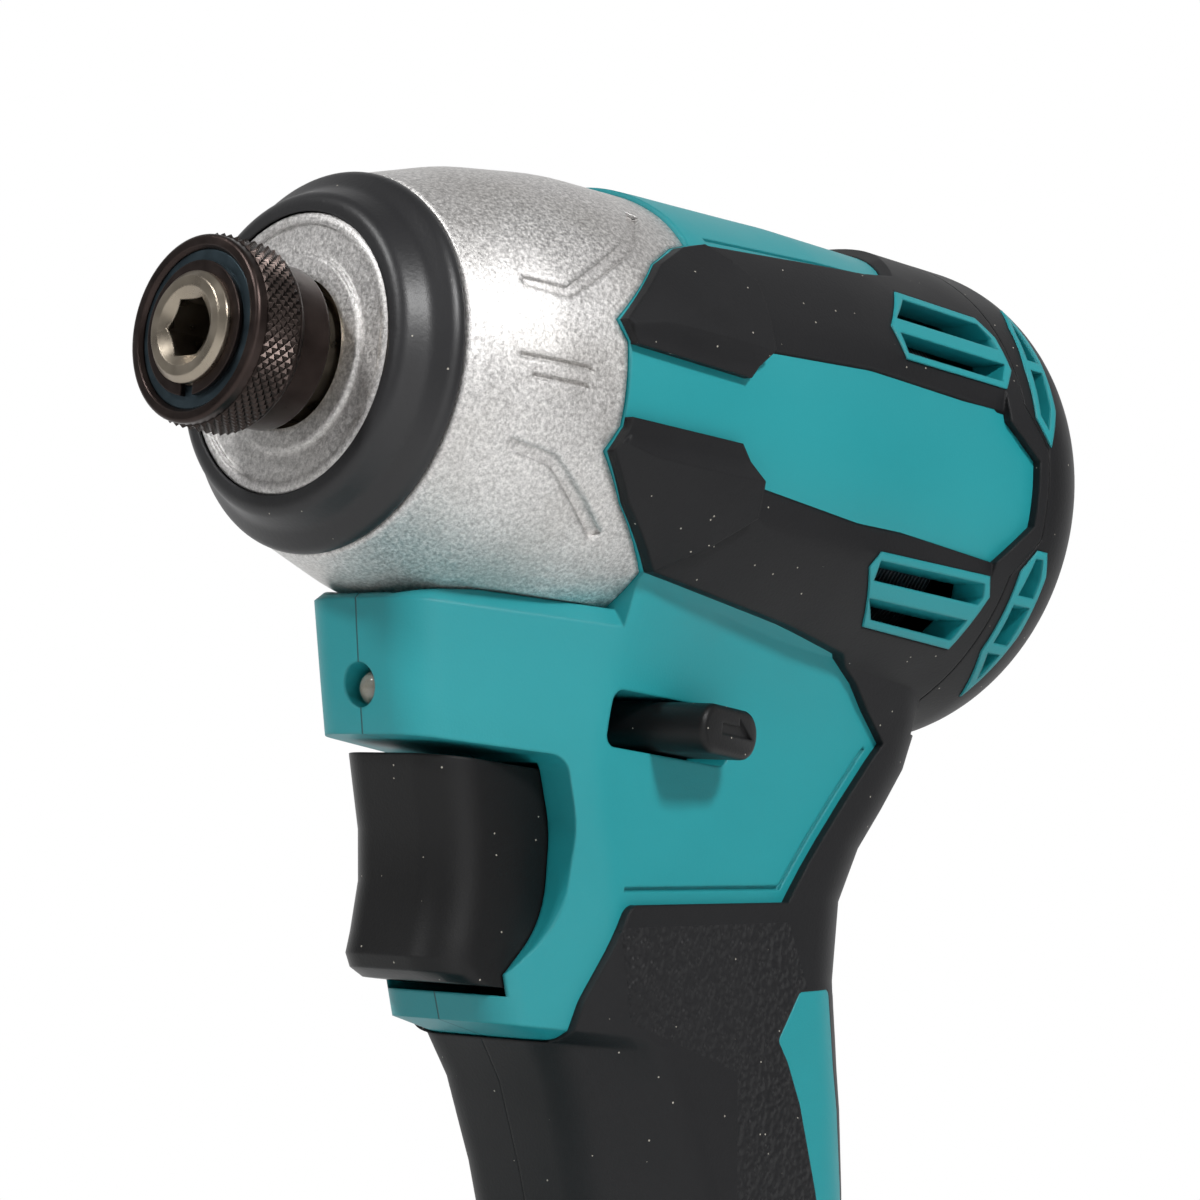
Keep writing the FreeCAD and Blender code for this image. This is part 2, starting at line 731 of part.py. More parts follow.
# Height, nose front, nose half width, shoulder, half width, rear, rear half width
body_sections = [
    (-14.0, -28.4, 9.4, -56.0, 23.2, -116.0, 20.0),
    (-22.0, -28.7, 9.0, -56.0, 20.2, -117.0, 18.0),
    (-30.0, -30.2, 8.8, -55.5, 17.8, -118.5, 15.6),
    (-36.0, -31.4, 8.6, -55.5, 16.8, -117.6, 14.6),
    (-chin_height, -32.6, 8.4, -55.5, 16.3, -114.4, 14.2),
    (-47.0, -36.0, 8.6, -57.0, 16.0, -110.6, 14.0),
    (-54.0, -40.0, 9.0, -60.0, 15.8, -107.6, 14.0),
    (-64.0, -45.5, 9.6, -63.0, 15.8, -107.2, 14.4),
    (-lip_height, -49.2, 10.0, -67.0, 15.8, -108.8, 14.8),
    (-lip_height - 1.6, -57.6, 9.8, -70.0, 15.8, -109.1, 14.8),
    (-80.0, -61.4, 9.6, -74.0, 15.9, -110.0, 15.0),
    (-90.0, -66.0, 9.2, -80.0, 16.0, -111.6, 15.0),
    (-104.0, -71.5, 9.0, -84.0, 15.8, -113.8, 14.6),
    (-122.0, -74.8, 9.0, -87.0, 15.6, -116.4, 14.2),
    (-handle_height - 2.0, -76.5, 9.4, -89.0, 16.4, -119.5, 14.8)]


def body_form(grow=0.0):
    """Chin and handle as one form, swept through the plan sections."""
    wires = [section(*row, -grow) for row in body_sections]
    return Part.makeLoft(wires, True, True)


def body_row(z):
    """The body's plan section at any height, between the two listed ones."""
    for upper, lower in zip(body_sections, body_sections[1:]):
        if lower[0] <= z <= upper[0]:
            share = (upper[0] - z) / (upper[0] - lower[0])
            return [a + (b - a) * share for a, b in zip(upper, lower)]


def chin_corners():
    """What the bevel takes off the chin's top edge, in front of the housing's edge."""
    low = -chin_top - chin_bevel
    wires = [section(*body_row(low), -0.3), section(*body_row(-chin_top), chin_bevel * 0.9)]
    return box(case_edge_x, 0, -1, 60, low, -chin_top).cut(Part.makeLoft(wires, True, True))


case_edge_x = -55.2


def foot_section(z, front, rear, width, radius):
    return rounded_wire([(front, width, radius), (rear, width, radius), (rear, -width, radius),
                         (front, -width, radius)], along_z(z))


def foot_form(grow=0.0):
    """Flared foot that takes the battery."""
    top = -handle_height + grow
    half = foot_width / 2 + grow
    front, rear = grow - foot_front, -foot_rear - grow
    wires = [foot_section(top + 1.0, -77.0 + grow, -119.2 - grow, 16.0 + grow, 10.0),
             foot_section(top - 2.5, -62.0 + grow, -124.0 - grow, 22.0 + grow, 11.0),
             foot_section(top - 5.0, front - 6.0, rear + 2.0, half - 3.0, foot_corner),
             foot_section(top - 7.5, front, rear, half, foot_corner),
             foot_section(-foot_height, front, rear, half, foot_corner)]
    return Part.makeLoft(wires, True, True)


# Outlines in the side view, as (x, z) or (x, z, corner radius)

def case_side(shift=0.0):
    """The bare part of the hammer case, up to the housing's front edge."""
    return [(shift - 58.0, 45), (shift - 58.8, 24.0), (shift - 58.0, 20.0), (shift - 54.6, 18.8),
            (shift - 49.4, 15.6), (shift - 41.5, 7.25), (shift - 42.9, 4.9), (shift - 42.9, -4.9),
            (shift - 41.5, -8.0), (shift - 46.3, -13.2), (shift + case_edge_x, -19.7),
            (shift + case_edge_x, shift - chin_top), (20, shift - chin_top), (20, 45)]


def trigger_window():
    """Space that the trigger moves in, under the chin and over the guard lip."""
    return side_prism([(-20, -chin_height), (-51.5, -chin_height - 0.3, 3.0), (-54.6, -50.0, 14.0),
                       (-54.9, -61.0, 12.0), (-47.0, -70.2, 9.0), (-20, -69.8)], -50, 50)


teal_side = [(-20.0, -10.0), (-55.2, -19.7), (-60.0, -20.2), (-80.0, -22.2), (-93.0, -24.0),
             (-98.5, -27.0), (-107.0, -33.6), (-95.0, -50.5), (-92.0, -55.2), (-62.5, -58.2, 2.0),
             (-60.6, -64.0, 5.0), (-58.4, -70.0, 6.0), (-57.5, -75.0), (-20.0, -75.0)]

band_side = [(-41.5, 7.25), (-49.4, 15.6), (-54.6, 18.8), (-58.2, 20.0), (-90.0, 23.4), (-97.5, 24.8),
             (-101.0, 28.0), (-108.0, 33.0), (-108.0, 45), (-160, 45), (-160, -45), (-118.0, -36.0),
             (-107.0, -33.6), (-98.5, -27.0), (-93.0, -24.0), (-80.0, -22.2), (-60.0, -20.2),
             (-55.2, -19.7), (-46.3, -13.2), (-41.5, -8.0)]

panel_side = [(-43.5, 4.6), (-61.0, 4.0), (-64.4, 8.0), (-108.2, 9.2), (-115.4, 3.6), (-115.4, -4.8),
              (-110.0, -10.2), (-64.4, -7.8), (-60.5, -3.9), (-43.5, -3.9), (-38.0, -3.9), (-38.0, 4.6)]

upper_finger = [(-41.5, 7.25), (-43.4, 4.6), (-61.0, 4.0), (-64.4, 8.0), (-64.2, 16.5), (-58.2, 20.0),
                (-54.6, 18.8), (-49.4, 15.6)]

lower_finger = [(-41.5, -8.0), (-43.9, -5.2), (-47.4, -3.7), (-60.0, -3.7), (-62.6, -5.4), (-64.4, -7.8),
                (-65.2, -12.0), (-55.2, -19.7), (-46.3, -13.2)]

upper_vent = [(-94.4, 21.9), (-110.0, 21.7), (-112.0, 19.4), (-112.3, 15.0), (-110.0, 12.1),
              (-90.3, 12.1), (-89.2, 16.2)]
upper_vent_holes = [[(-94.8, 20.9), (-109.6, 20.7), (-111.0, 19.0), (-111.2, 17.6), (-91.0, 17.6)],
                    [(-90.5, 15.6), (-111.3, 15.6), (-109.6, 13.0), (-90.8, 13.0)]]

lower_vent = [(-88.4, -12.2), (-109.4, -12.0), (-111.0, -14.4), (-109.4, -21.2), (-92.2, -20.8),
              (-87.4, -14.2)]
lower_vent_holes = [[(-88.8, -13.2), (-109.0, -13.0), (-109.9, -14.6), (-109.6, -15.6), (-89.2, -15.6)],
                    [(-90.0, -17.6), (-109.2, -17.6), (-108.6, -20.2), (-92.6, -19.9)]]

upper_arc = [(-115.2, 9.2), (-117.6, 5.8), (-119.8, 11.0), (-120.4, 18.0), (-119.8, 25.0), (-117.6, 22.0),
             (-115.8, 16.0)]
upper_arc_holes = [[(-116.2, 9.8), (-117.5, 8.0), (-118.8, 11.4), (-119.4, 16.0), (-116.9, 16.0)],
                   [(-117.1, 17.4), (-119.5, 17.4), (-119.0, 23.0), (-118.0, 21.2)]]

lower_arc = [(-116.9, -7.6), (-118.8, -7.6), (-120.2, -10.5), (-120.3, -18.0), (-119.0, -26.0),
             (-115.4, -20.6), (-114.9, -10.6)]
lower_arc_holes = [[(-117.0, -8.6), (-118.4, -8.6), (-119.2, -10.8), (-119.3, -13.4), (-116.1, -13.4)],
                   [(-116.1, -14.6), (-119.4, -14.6), (-119.2, -19.4), (-116.4, -19.4)],
                   [(-116.6, -20.6), (-119.1, -20.6), (-118.7, -23.8)]]


grilles = ((upper_vent, upper_vent_holes), (lower_vent, lower_vent_holes))
cover_grilles = ((upper_arc, upper_arc_holes), (lower_arc, lower_arc_holes))

# Bare strip on the rear corner of the handle
inlay_side = [(-95.2, -66.0, 1.0), (-101.6, -65.2, 1.0), (-103.4, -74.2), (-104.9, -80.0), (-107.6, -92.0),
              (-109.4, -104.0, 1.5), (-105.0, -102.0), (-100.5, -90.0), (-96.3, -79.7), (-93.6, -74.8),
              (-91.5, -72.2, 0.8)]

# Fine lines pressed into the shell: over the handle's bare part, and along the top of the head
handle_crease = [(-62.3, -56.6), (-91.4, -53.7), (-94.1, -49.7), (-104.8, -34.6), (-104.4, -34.3),
                 (-93.7, -49.4), (-91.1, -53.2), (-62.3, -56.1)]
head_crease = [(-62.0, 47.8), (-97.5, 52.5)]          # as (x, angle)


def rear_side(shift=0.0):
    """Everything behind the front edge of the rear cover."""
    return [(shift - 113.4, 45), (shift - 113.4, 10.6), (shift - 117.3, 5.4), (shift - 117.3, -6.2),
            (shift - 113.4, -11.4), (shift - 113.4, -31.6), (-160, -31.6), (-160, 45)]


# Screws that join the two halves: place in the side view
screw_places = [(-46.0, -33.0), (-95.6, -47.0), (-66.5, -80.5), (-91.0, -95.0), (-80.2, -128.0),
                (-125.4, -151.0)]
screw_radius = 1.6
screw_head_radius = 3.3
boss_radius = 3.6
screw_head_y = -9.0
boss_floor = 1.5


def mirrored(shape):
    return shape.mirror(V(0, 0, 0), V(0, 1, 0))


def case_cradle(grow):
    """Room for the hammer case in the housing."""
    inside = turned_between(case_x, case_end_x, 0, case_tail_radius + grow)
    return turned(case_outside(grow)).common(inside)


def left_skin(grow):
    """Left half of the head and of the body, as one outer form."""
    half = half_space(1)
    head = head_form(grow).common(half)
    body = body_form(grow).common(half)
    return head, body


def head_room():
    """Hollow of the motor housing."""
    tail = case_tail_radius + 0.25
    wide = head_middle_radius - head_wall
    return turned([(-30, 0), (-30, tail), (case_end_x - 4, tail), (case_end_x - 4, wide),
                   (-140, wide), (-140, 0)])


def body_rooms():
    """Hollows of the chin, handle and foot, on both sides of the middle."""
    bay_z = -foot_height + 6.7
    rooms = [body_form(-wall).common(box(0, -140, -40, 40, -74.0, -136.0)),
             box(-40, switch_end_x - seat, -switch_half - free, switch_half + free, -70.2, -42.6),
             side_prism([(lever_front, lever_top, 1.5), (lever_back, lever_top, 1.5),
                         (lever_back, lever_top - lever_thickness - 0.8, 1.5),
                         (lever_front, lever_top - lever_thickness - 0.8, 1.5)], -50, 50),
             box(lever_back + 4, -lever_pivot - 6, -9, 9, lever_top, lever_top - lever_thickness - 0.8),
             Part.makeCylinder(2.2 + running, 11.6, V(-lever_pivot, 0, -lever_height - 5.8)),
             box(-99.6, -104.2, -6, 6, -20, -76),
             box(-90, -112, -10, 10, -135, -150),
             box(20, tower_back - free, -27.3, 27.3, -foot_height - 1, bay_z),
             box(20, tower_back - free, -30.5, 30.5, bay_z - 0.01, bay_z + 4.1),
             box(tower_back, terminal_back, -22.2, 22.2, -foot_height - 1, bay_z + 4.7),
             Part.makeCylinder(2.6, 14, V(-28, 0, -led_height), V(-1, 0, 0))]
    return rooms


switch_half = 9.6
switch_x = -63.6
switch_end_x = -90.0
lever_top = -lever_height + lever_thickness / 2 + 0.4
lever_front = -56.2
lever_back = -78.6
led_height = 36.0
tower_back = -112.0
terminal_back = -119.8
hook_x = -53.0
hook_z = -151.0


def housing_left():
    """Left moulded half: head shell, chin, handle and foot."""
    head, body = left_skin(0.0)
    solid = head.fuse(body).fuse(foot_form().common(half_space(1)))
    solid = solid.cut(side_prism(case_side(), -1, 60))
    solid = solid.cut(chin_corners())
    solid = solid.cut(case_cradle(seat + 0.1))
    solid = solid.cut(side_prism(rear_side(seat), -1, 60))
    solid = solid.fuse(body_form(rubber).common(side_prism(inlay_side, 4, 60)))
    solid = framed(solid, grilles, [1])
    solid = solid.cut(crease(head_crease).cut(head_form(-crease_depth)))
    solid = solid.cut(side_prism(handle_crease, 4, 60).cut(body_form(-crease_depth)).cut(head_form()))
    solid = solid.cut(head_room())
    solid = solid.cut(turned_between(planet_x - 2 + seat, planet_x - 5 - seat, 0, case_tail_radius + 1.25))
    seat_ring = turned_between(stator_x - 0.5, stator_x - 4.5, stator_radius + seat,
                               head_middle_radius - head_wall + 0.5)
    solid = solid.fuse(seat_ring.common(half_space(1)))
    solid = solid.cut(trigger_window())
    for room in body_rooms():
        solid = solid.cut(room)
    return solid


def framed(solid, grilles, ways):
    """Raises a frame round each group of slots and cuts the slots."""
    ring = head_form(rubber + 0.2).cut(head_form(-1.0))
    for outline, holes in grilles:
        for way in ways:
            solid = solid.fuse(ring.common(side_prism(outline, way * 4, way * 60)))
            for hole in holes:
                solid = solid.cut(side_prism(hole, way * 4, way * 60))
    return solid


def crease(places):
    """Thin plate across the skin, through places given by x and angle."""
    wires = []
    for x, angle in places:
        wire = rounded_wire([(26, -0.3), (40, -0.3), (40, 0.3), (26, 0.3)], along_x(x))
        wire.rotate(V(0, 0, 0), V(1, 0, 0), angle)
        wires.append(wire)
    return Part.makeLoft(wires, True, True)


def with_bosses(half, way):
    """Adds the screw bosses; the right half has the clearance holes and head recesses."""
    outer = body_form(-0.5).fuse(foot_form(-0.5))
    collar_y = abs(screw_head_y) - boss_floor
    for x, z in screw_places:
        boss = Part.makeCylinder(boss_radius, 30, V(x, 0, z), V(0, way, 0))
        if way < 0:
            collar = Part.makeCylinder(screw_head_radius + free + boss_floor, 30,
                                       V(x, -collar_y, z), V(0, -1, 0))
            boss = boss.fuse(collar)
        half = half.fuse(boss.common(outer))
    for x, z in screw_places:
        if way > 0:
            half = half.cut(Part.makeCylinder(screw_radius + 0.02, 10, V(x, 0, z), V(0, 1, 0)))
        else:
            half = half.cut(Part.makeCylinder(screw_radius + 0.3, 40, V(x, 0, z), V(0, -1, 0)))
            half = half.cut(Part.makeCylinder(screw_head_radius + 0.4, 40, V(x, screw_head_y, z), V(0, -1, 0)))
    hook_hole = Part.makeCylinder(2.0, 7.0, V(hook_x, way * foot_width / 2, hook_z), V(0, -way, 0))
    return half.cut(hook_hole)


def housing_screws():
    return [screw(V(x, screw_head_y, z), (0, -1, 0), 17.0, screw_radius, screw_head_radius, 2.2)
            for x, z in screw_places]


def rubber_left():
    """Rubber skin of the left half: the two bands, the rear of the head and the grip."""
    head0, body0 = left_skin(0.0)
    head1, body1 = left_skin(rubber)
    bands = head1.cut(head0).common(side_prism(band_side, -1, 60))
    bands = bands.cut(band_bevel(1)).cut(band_bevel(-1))
    thick = head_form(finger_rubber).common(half_space(1)).cut(head0)
    for outline, way in ((upper_finger, 1), (lower_finger, -1)):
        finger = thick.common(side_prism(outline, 4, 60))
        bands = bands.fuse(finger.cut(finger_bevel(way)).cut(finger_front(way)))
    bands = bands.cut(body0)
    below = box(-20, -170, -1, 60, -24.0, -handle_height + 1.0)
    grip = body1.cut(body0).common(below).cut(side_prism(teal_side, -1, 60)).cut(head0)
    solid = bands.fuse(grip)
    solid = solid.cut(side_prism(panel_side, 4, 60))
    solid = solid.cut(side_prism(case_side(), -1, 60))
    solid = solid.cut(trigger_window())
    solid = solid.cut(side_prism(rear_side(seat), -1, 60))
    for outline in (upper_vent, lower_vent, inlay_side):
        solid = solid.cut(side_prism(outline, 4, 60))
    return solid.cut(foot_form())


def slope(sections):
    """Cutter over a sloping face that runs along X; each section is x, low (y, z) and high (y, z)."""
    wires = []
    for x, low, high in sections:
        wires.append(rounded_wire([low, high, (60, high[1]), (60, 0), (low[0], 0)], along_x(x)))
    return Part.makeLoft(wires, True, True)


def edge_y(x, z, grow):
    """How far out the front part of the head's surface lies at a place in the side view."""
    radius = head_front_radius - 0.3 + (head_start_x - x) * 1.7 / (head_start_x + 60.0) + grow
    return math.sqrt(radius * radius - z * z)


def band_bevel(way):
    """Sloping edge of a band along the bare panel."""
    return slope([(-64.0, (28.3, way * 8.0), (28.6, way * 14.0)),
                  (-110.0, (29.35, way * 9.2), (29.6, way * 15.0))])


def finger_bevel(way):
    """Sloping face of a finger towards the bare panel."""
    sections = []
    for x in (-39.0, -66.0):
        low = edge_y(x, 4.5, 0.4)
        sections.append((x, (low, way * 4.0), (low + 3.4, way * (4.0 + 2.4 * finger_facet))))
    return slope(sections)


def finger_front(way):
    """Everything outside the sloping front face of a finger."""
    start = V(-41.5, edge_y(-41.5, 7.6, 1.2), way * 7.6)
    end = V(-54.8, edge_y(-54.8, 19.0, 1.2), way * 19.0)
    inner = (start + end) * 0.5 + V(-0.66, 0, -0.75 * way) * finger_facet
    inner.y = edge_y(inner.x, inner.z, finger_rubber)
    out = (end - start).cross(inner - start).normalize()
    if out.y < 0:
        out = out * -1
    slab = Part.makeBox(80, 80, 20, V(-40, -40, 0))
    slab.Placement = FreeCAD.Placement(start, FreeCAD.Rotation(V(0, 0, 1), out))
    return slab


def rubber_right(left):
    solid = mirrored(left)
    for x, z in screw_places:
        solid = solid.cut(Part.makeCylinder(screw_head_radius + 0.4, 40, V(x, screw_head_y, z), V(0, -1, 0)))
    return solid


def rear_cover():
    """Cap with the exhaust slots, the rear bearing boss and two tabs that hold the stator."""
    solid = framed(head_form().common(side_prism(rear_side(), -60, 60)), cover_grilles, [1, -1])
    room = turned([(-100, 0), (-100, head_rear_radius - head_wall)] + rear_profile(-head_wall))
    floor_x = head_end_x + head_wall - 0.5
    boss = turned_between(rear_bearing_x, floor_x, 0, rear_bearing[1] + 2.0)
    tabs = [sector(stator_end_x + 3.5, floor_x + 2.0, stator_radius + seat,
                   head_middle_radius - head_wall - 0.2, angle - 9, angle + 9) for angle in (90, 270)]
    pillars = [Part.makeCylinder(cover_boss_radius, -floor_x + cover_boss_end_x - seat,
                                 V(cover_boss_end_x - seat, way * cover_screw_y, 0), V(-1, 0, 0))
               for way in (1, -1)]
    solid = fused([solid.cut(room), boss] + tabs + pillars)
    solid = solid.cut(turned_between(rear_bearing_x + 1, rear_bearing_end_x, 0, rear_bearing[1]))
    return cut_for_cover_screws(solid, 1.9)


def cut_for_cover_screws(solid, radius):
    for way in (1, -1):
        solid = solid.cut(Part.makeCylinder(radius, 40, V(-100, way * cover_screw_y, 0), V(-1, 0, 0)))
        solid = solid.cut(Part.makeCylinder(3.7, 20, V(cover_screw_x, way * cover_screw_y, 0), V(-1, 0, 0)))
    return solid


cover_screw_y = 25.3
cover_screw_x = -125.0
cover_boss_x = stator_end_x - 1.4
cover_boss_end_x = -117.15
cover_boss_radius = 3.0


def rear_rubber():
    solid = head_form(rubber).cut(head_form()).common(side_prism(rear_side(), -60, 60))
    for outline in (upper_arc, lower_arc):
        for way in (1, -1):
            solid = solid.cut(side_prism(outline, way * 4, way * 60))
    solid = solid.cut(turned_between(-100, -140, 0, 15.0))
    return cut_for_cover_screws(solid, 3.7)


def cover_screws():
    return [screw(V(cover_screw_x, way * cover_screw_y, 0), (-1, 0, 0), 14.0, screw_radius, 3.2, 2.2)
            for way in (1, -1)]


def cover_screw_boss():
    """Boss on the left wall for a cover screw."""
    boss = Part.makeCylinder(cover_boss_radius, cover_boss_x - cover_boss_end_x,
                             V(cover_boss_x, cover_screw_y, 0), V(-1, 0, 0))
    hole = Part.makeCylinder(screw_radius + 0.02, 20, V(cover_boss_x + 1, cover_screw_y, 0), V(-1, 0, 0))
    return boss.common(head_form(-0.5)).cut(hole)


# Trigger, switch and lever

def trigger():
    """Finger-shaped trigger with the plunger that works the switch."""
    rows = [(-43.3, -36.4), (-46.0, -37.2), (-52.0, -39.0), (-58.0, -39.8), (-64.0, -39.3), (-66.6, -38.9),
            (-68.2, -39.8), (-69.2, -42.0)]
    half = trigger_width / 2
    wires = [rounded_wire([(x, half, 6.0), (-56.0, half), (-56.0, -half), (x, -half, 6.0)], along_z(z))
             for z, x in rows]
    body = Part.makeLoft(wires, True, True)
    plunger = Part.makeCylinder(3.0, 11.0, V(-55.5, 0, -56.0), V(-1, 0, 0))
    return body.fuse(plunger)


def switch_body():
    body = box(switch_x, switch_end_x, -switch_half, switch_half, -46.0, -69.8)
    hole = Part.makeCylinder(3.0 + running, 12.5 + trigger_travel - 3.0, V(switch_x + 1, 0, -56.0), V(-1, 0, 0))
    return body.cut(hole)


def reversing_lever():
    """Cross bar with an ear on each side, turning on its own two stubs."""
    z0 = -lever_height - lever_thickness / 2
    z1 = z0 + lever_thickness
    ears = side_prism([(-60.5, z0, 2.9), (-73.0, z0, 2.9), (-73.0, z1, 2.9), (-60.5, z1, 2.9)], -19.5, 19.5)
    arm = plan_prism([(-72.0, 4.0), (-lever_pivot, 4.0), (-lever_pivot, -4.0), (-72.0, -4.0)],
                     z0 + 1, z1 - 1)
    hub = Part.makeCylinder(4.5, lever_thickness, V(-lever_pivot, 0, z0))
    stubs = Part.makeCylinder(2.2, lever_thickness + 5.0, V(-lever_pivot, 0, z0 - 2.5))
    solid = fused([ears, arm, hub, stubs])
    solid.rotate(V(-lever_pivot, 0, 0), V(0, 0, 1), lever_swing / 2)
    return solid


def led():
    bulb = Part.makeCylinder(2.3, 6.0, V(-34.6, 0, -led_height), V(-1, 0, 0))
    dome = Part.makeSphere(2.3, V(-34.6, 0, -led_height))
    flange = Part.makeCylinder(2.5, 1.0, V(-40.0, 0, -led_height), V(-1, 0, 0))
    return fused([bulb, dome, flange])


def controller():
    return box(-86.0, -109.5, -9.0, 9.0, -113.0, -135.5)


# Battery

def battery_form(inset=0.0):
    front, rear = -foot_front - 2.0 - inset, -foot_rear + inset
    half = battery_width / 2 - inset
    solid = plan_prism([(front, half, 9.0 - inset), (rear, half, 9.0 - inset), (rear, -half, 9.0 - inset),
                        (front, -half, 9.0 - inset)], -base_height + inset, -foot_height - 0.3)
    return solid


battery_split = -170.0
tower_front = -27.0


def battery_cover():
    """Upper half of the battery with the rail tower and the terminal slots."""
    solid = battery_form().common(box(10, -200, -60, 60, battery_split, -100))
    tower = box(tower_front, tower_back, -26.8, 26.8, -foot_height - 1, -foot_height + 7.2)
    flange = box(tower_front, tower_back, -30.1, 30.1, -foot_height + 7.2, -foot_height + 10.4)
    solid = fused([solid, tower, flange])
    room = battery_form(2.4).common(box(10, -200, -60, 60, battery_split, -foot_height - 3.0))
    solid = solid.cut(room)
    for y in (-14.0, 0.0, 14.0):
        solid = solid.cut(box(-95.5, tower_back, y - 1.2, y + 1.2, -foot_height + 2, -foot_height + 11))
    return solid.cut(button_room())


def battery_case():
    solid = battery_form().common(box(10, -200, -60, 60, -300, battery_split))
    solid = solid.cut(battery_form(2.0).common(box(10, -200, -60, 60, -300, battery_split)))
    return solid.cut(button_room())


def button_room():
    return fused([box(-10, -28.4, -13.5, 13.5, -178.0, -159.0), box(-20, -33.0, -8.4, 8.4, -178.0, -140)])


def battery_cells():
    cells = []
    for z in (-base_height + 11.6, -base_height + 30.0):
        for i in range(5):
            x = -77.0 + (i - 2) * 18.6
            cells.append(Part.makeCylinder(9.1, 65.0, V(x, -32.5, z), V(0, 1, 0)))
    return cells


def release_button():
    """Front button with the tongue that locks the battery in the foot."""
    plate = box(-20.0 + 1.2, -23.0, -13.0, 13.0, -173.0, -160.0)
    neck = box(-22.5, -27.5, -8.0, 8.0, -172.0, -161.0)
    tongue = plan_prism([(-23.5, 8.0), (-28.0, 8.0), (-28.0, -8.0), (-23.5, -8.0)], -165.0, -151.8)
    return fused([plate, neck, tongue])


def terminal_block():
    return box(tower_back - free - 0.2, terminal_back + seat, -22.0, 22.0, -foot_height + 0.6, -147.0)


def terminal_blades():
    return [box(-97.0, tower_back - free - 0.2, y - 0.5, y + 0.5, -foot_height + 3.0, -149.5)
            for y in (-14.0, 0.0, 14.0)]


# Belt hook

def belt_hook():
    """Bent steel strip on the right side of the foot."""
    y0 = -foot_width / 2 - 0.05
    strip = plan_prism([(-46.0, y0, 0.7), (-61.5, y0, 3.0), (-66.5, y0 - 7.4, 4.6), (-109.0, y0 - 7.4, 4.6),
                        (-114.0, y0 - 5.0), (-114.6, y0 - 6.6), (-109.0, y0 - 9.0, 6.2),
                        (-65.5, y0 - 9.0, 3.0), (-60.5, y0 - 1.6, 4.6), (-46.0, y0 - 1.6, 0.7)],
                       hook_z - 6.0, hook_z + 6.0)
    return strip.cut(Part.makeCylinder(2.15, 10, V(hook_x, y0 + 2, hook_z), V(0, -1, 0)))


def hook_screw():
    return screw(V(hook_x, -foot_width / 2 - 1.7, hook_z), (0, -1, 0), 8.0, 1.95, 3.9, 2.4)


nodes = {}


def keep(name, solids):
    """Remember a piece under its node name."""
    if not isinstance(solids, (list, tuple)):
        solids = [solids]
    flat = []
    for solid in solids:
        flat.extend(solid.Solids)
    nodes[name] = flat


keep("anvil", anvil())
keep("detent_balls", detent_balls())
keep("bit_sleeve", bit_sleeve())
keep("retaining_ring", retaining_ring())
keep("sleeve_washer", sleeve_washer())
keep("sleeve_spring", sleeve_spring())
keep("hammer_case", hammer_case())
keep("front_bumper", front_bumper())
keep("anvil_bush", anvil_bush())
keep("hammer", hammer())
keep("cam_balls", cam_balls())
keep("hammer_spring", hammer_spring())
keep("spring_washer", spring_washer())
keep("spindle", spindle())
keep("planet_pins", planet_pins())
for number in range(planet_count):
    keep("planet_gear_%d" % (number + 1), planet_gear(number))
keep("ring_gear", ring_gear())
keep("gear_cover", gear_cover())
keep("spindle_bearing", bearing(bearing_x, spindle_bearing))
keep("front_motor_bearing", bearing(motor_bearing_x, front_bearing))
keep("rear_motor_bearing", bearing(rear_bearing_x, rear_bearing))
keep("rotor_shaft", rotor_shaft())
keep("rotor_core", rotor_core())
keep("stator_core", stator_core())
keep("windings", windings())
keep("fan", fan())

half = housing_left().fuse(cover_screw_boss())
keep("housing_left", with_bosses(half, 1))
keep("housing_right", with_bosses(mirrored(half), -1))
skin = rubber_left()
keep("grip_rubber_left", skin)
keep("grip_rubber_right", rubber_right(skin))
keep("housing_screws", housing_screws())
keep("rear_cover", rear_cover())
keep("rear_rubber", rear_rubber())
keep("cover_screws", cover_screws())
keep("trigger", trigger())
keep("switch_body", switch_body())
keep("reversing_lever", reversing_lever())
keep("led", led())
keep("controller", controller())
keep("terminal_block", terminal_block())
keep("terminal_blades", terminal_blades())
keep("belt_hook", belt_hook())
keep("hook_screw", hook_screw())
keep("battery_cover", battery_cover())
keep("battery_case", battery_case())
keep("battery_cells", battery_cells())
keep("release_button", release_button())

for name, solids in nodes.items():
    shape = solids[0] if len(solids) == 1 else Part.makeCompound(solids)
    shape.exportStep("parts/" + name + ".step")
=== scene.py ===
# %% [markdown]
# # A cordless impact driver, dressed for its photograph
#
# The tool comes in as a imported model: every screw, gear and moulding is already a solid in its right
# place. Blender's job is what a solid can't say: the grain of the mouldings, the sparkle of the cast
# case, the bite of the knurl and the light. Lengths are metres; +X points out of the bit holder, +Y to
# the tool's left and +Z up.

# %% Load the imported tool
import json
import math

import bmesh
import bpy
from mathutils import Matrix, Vector


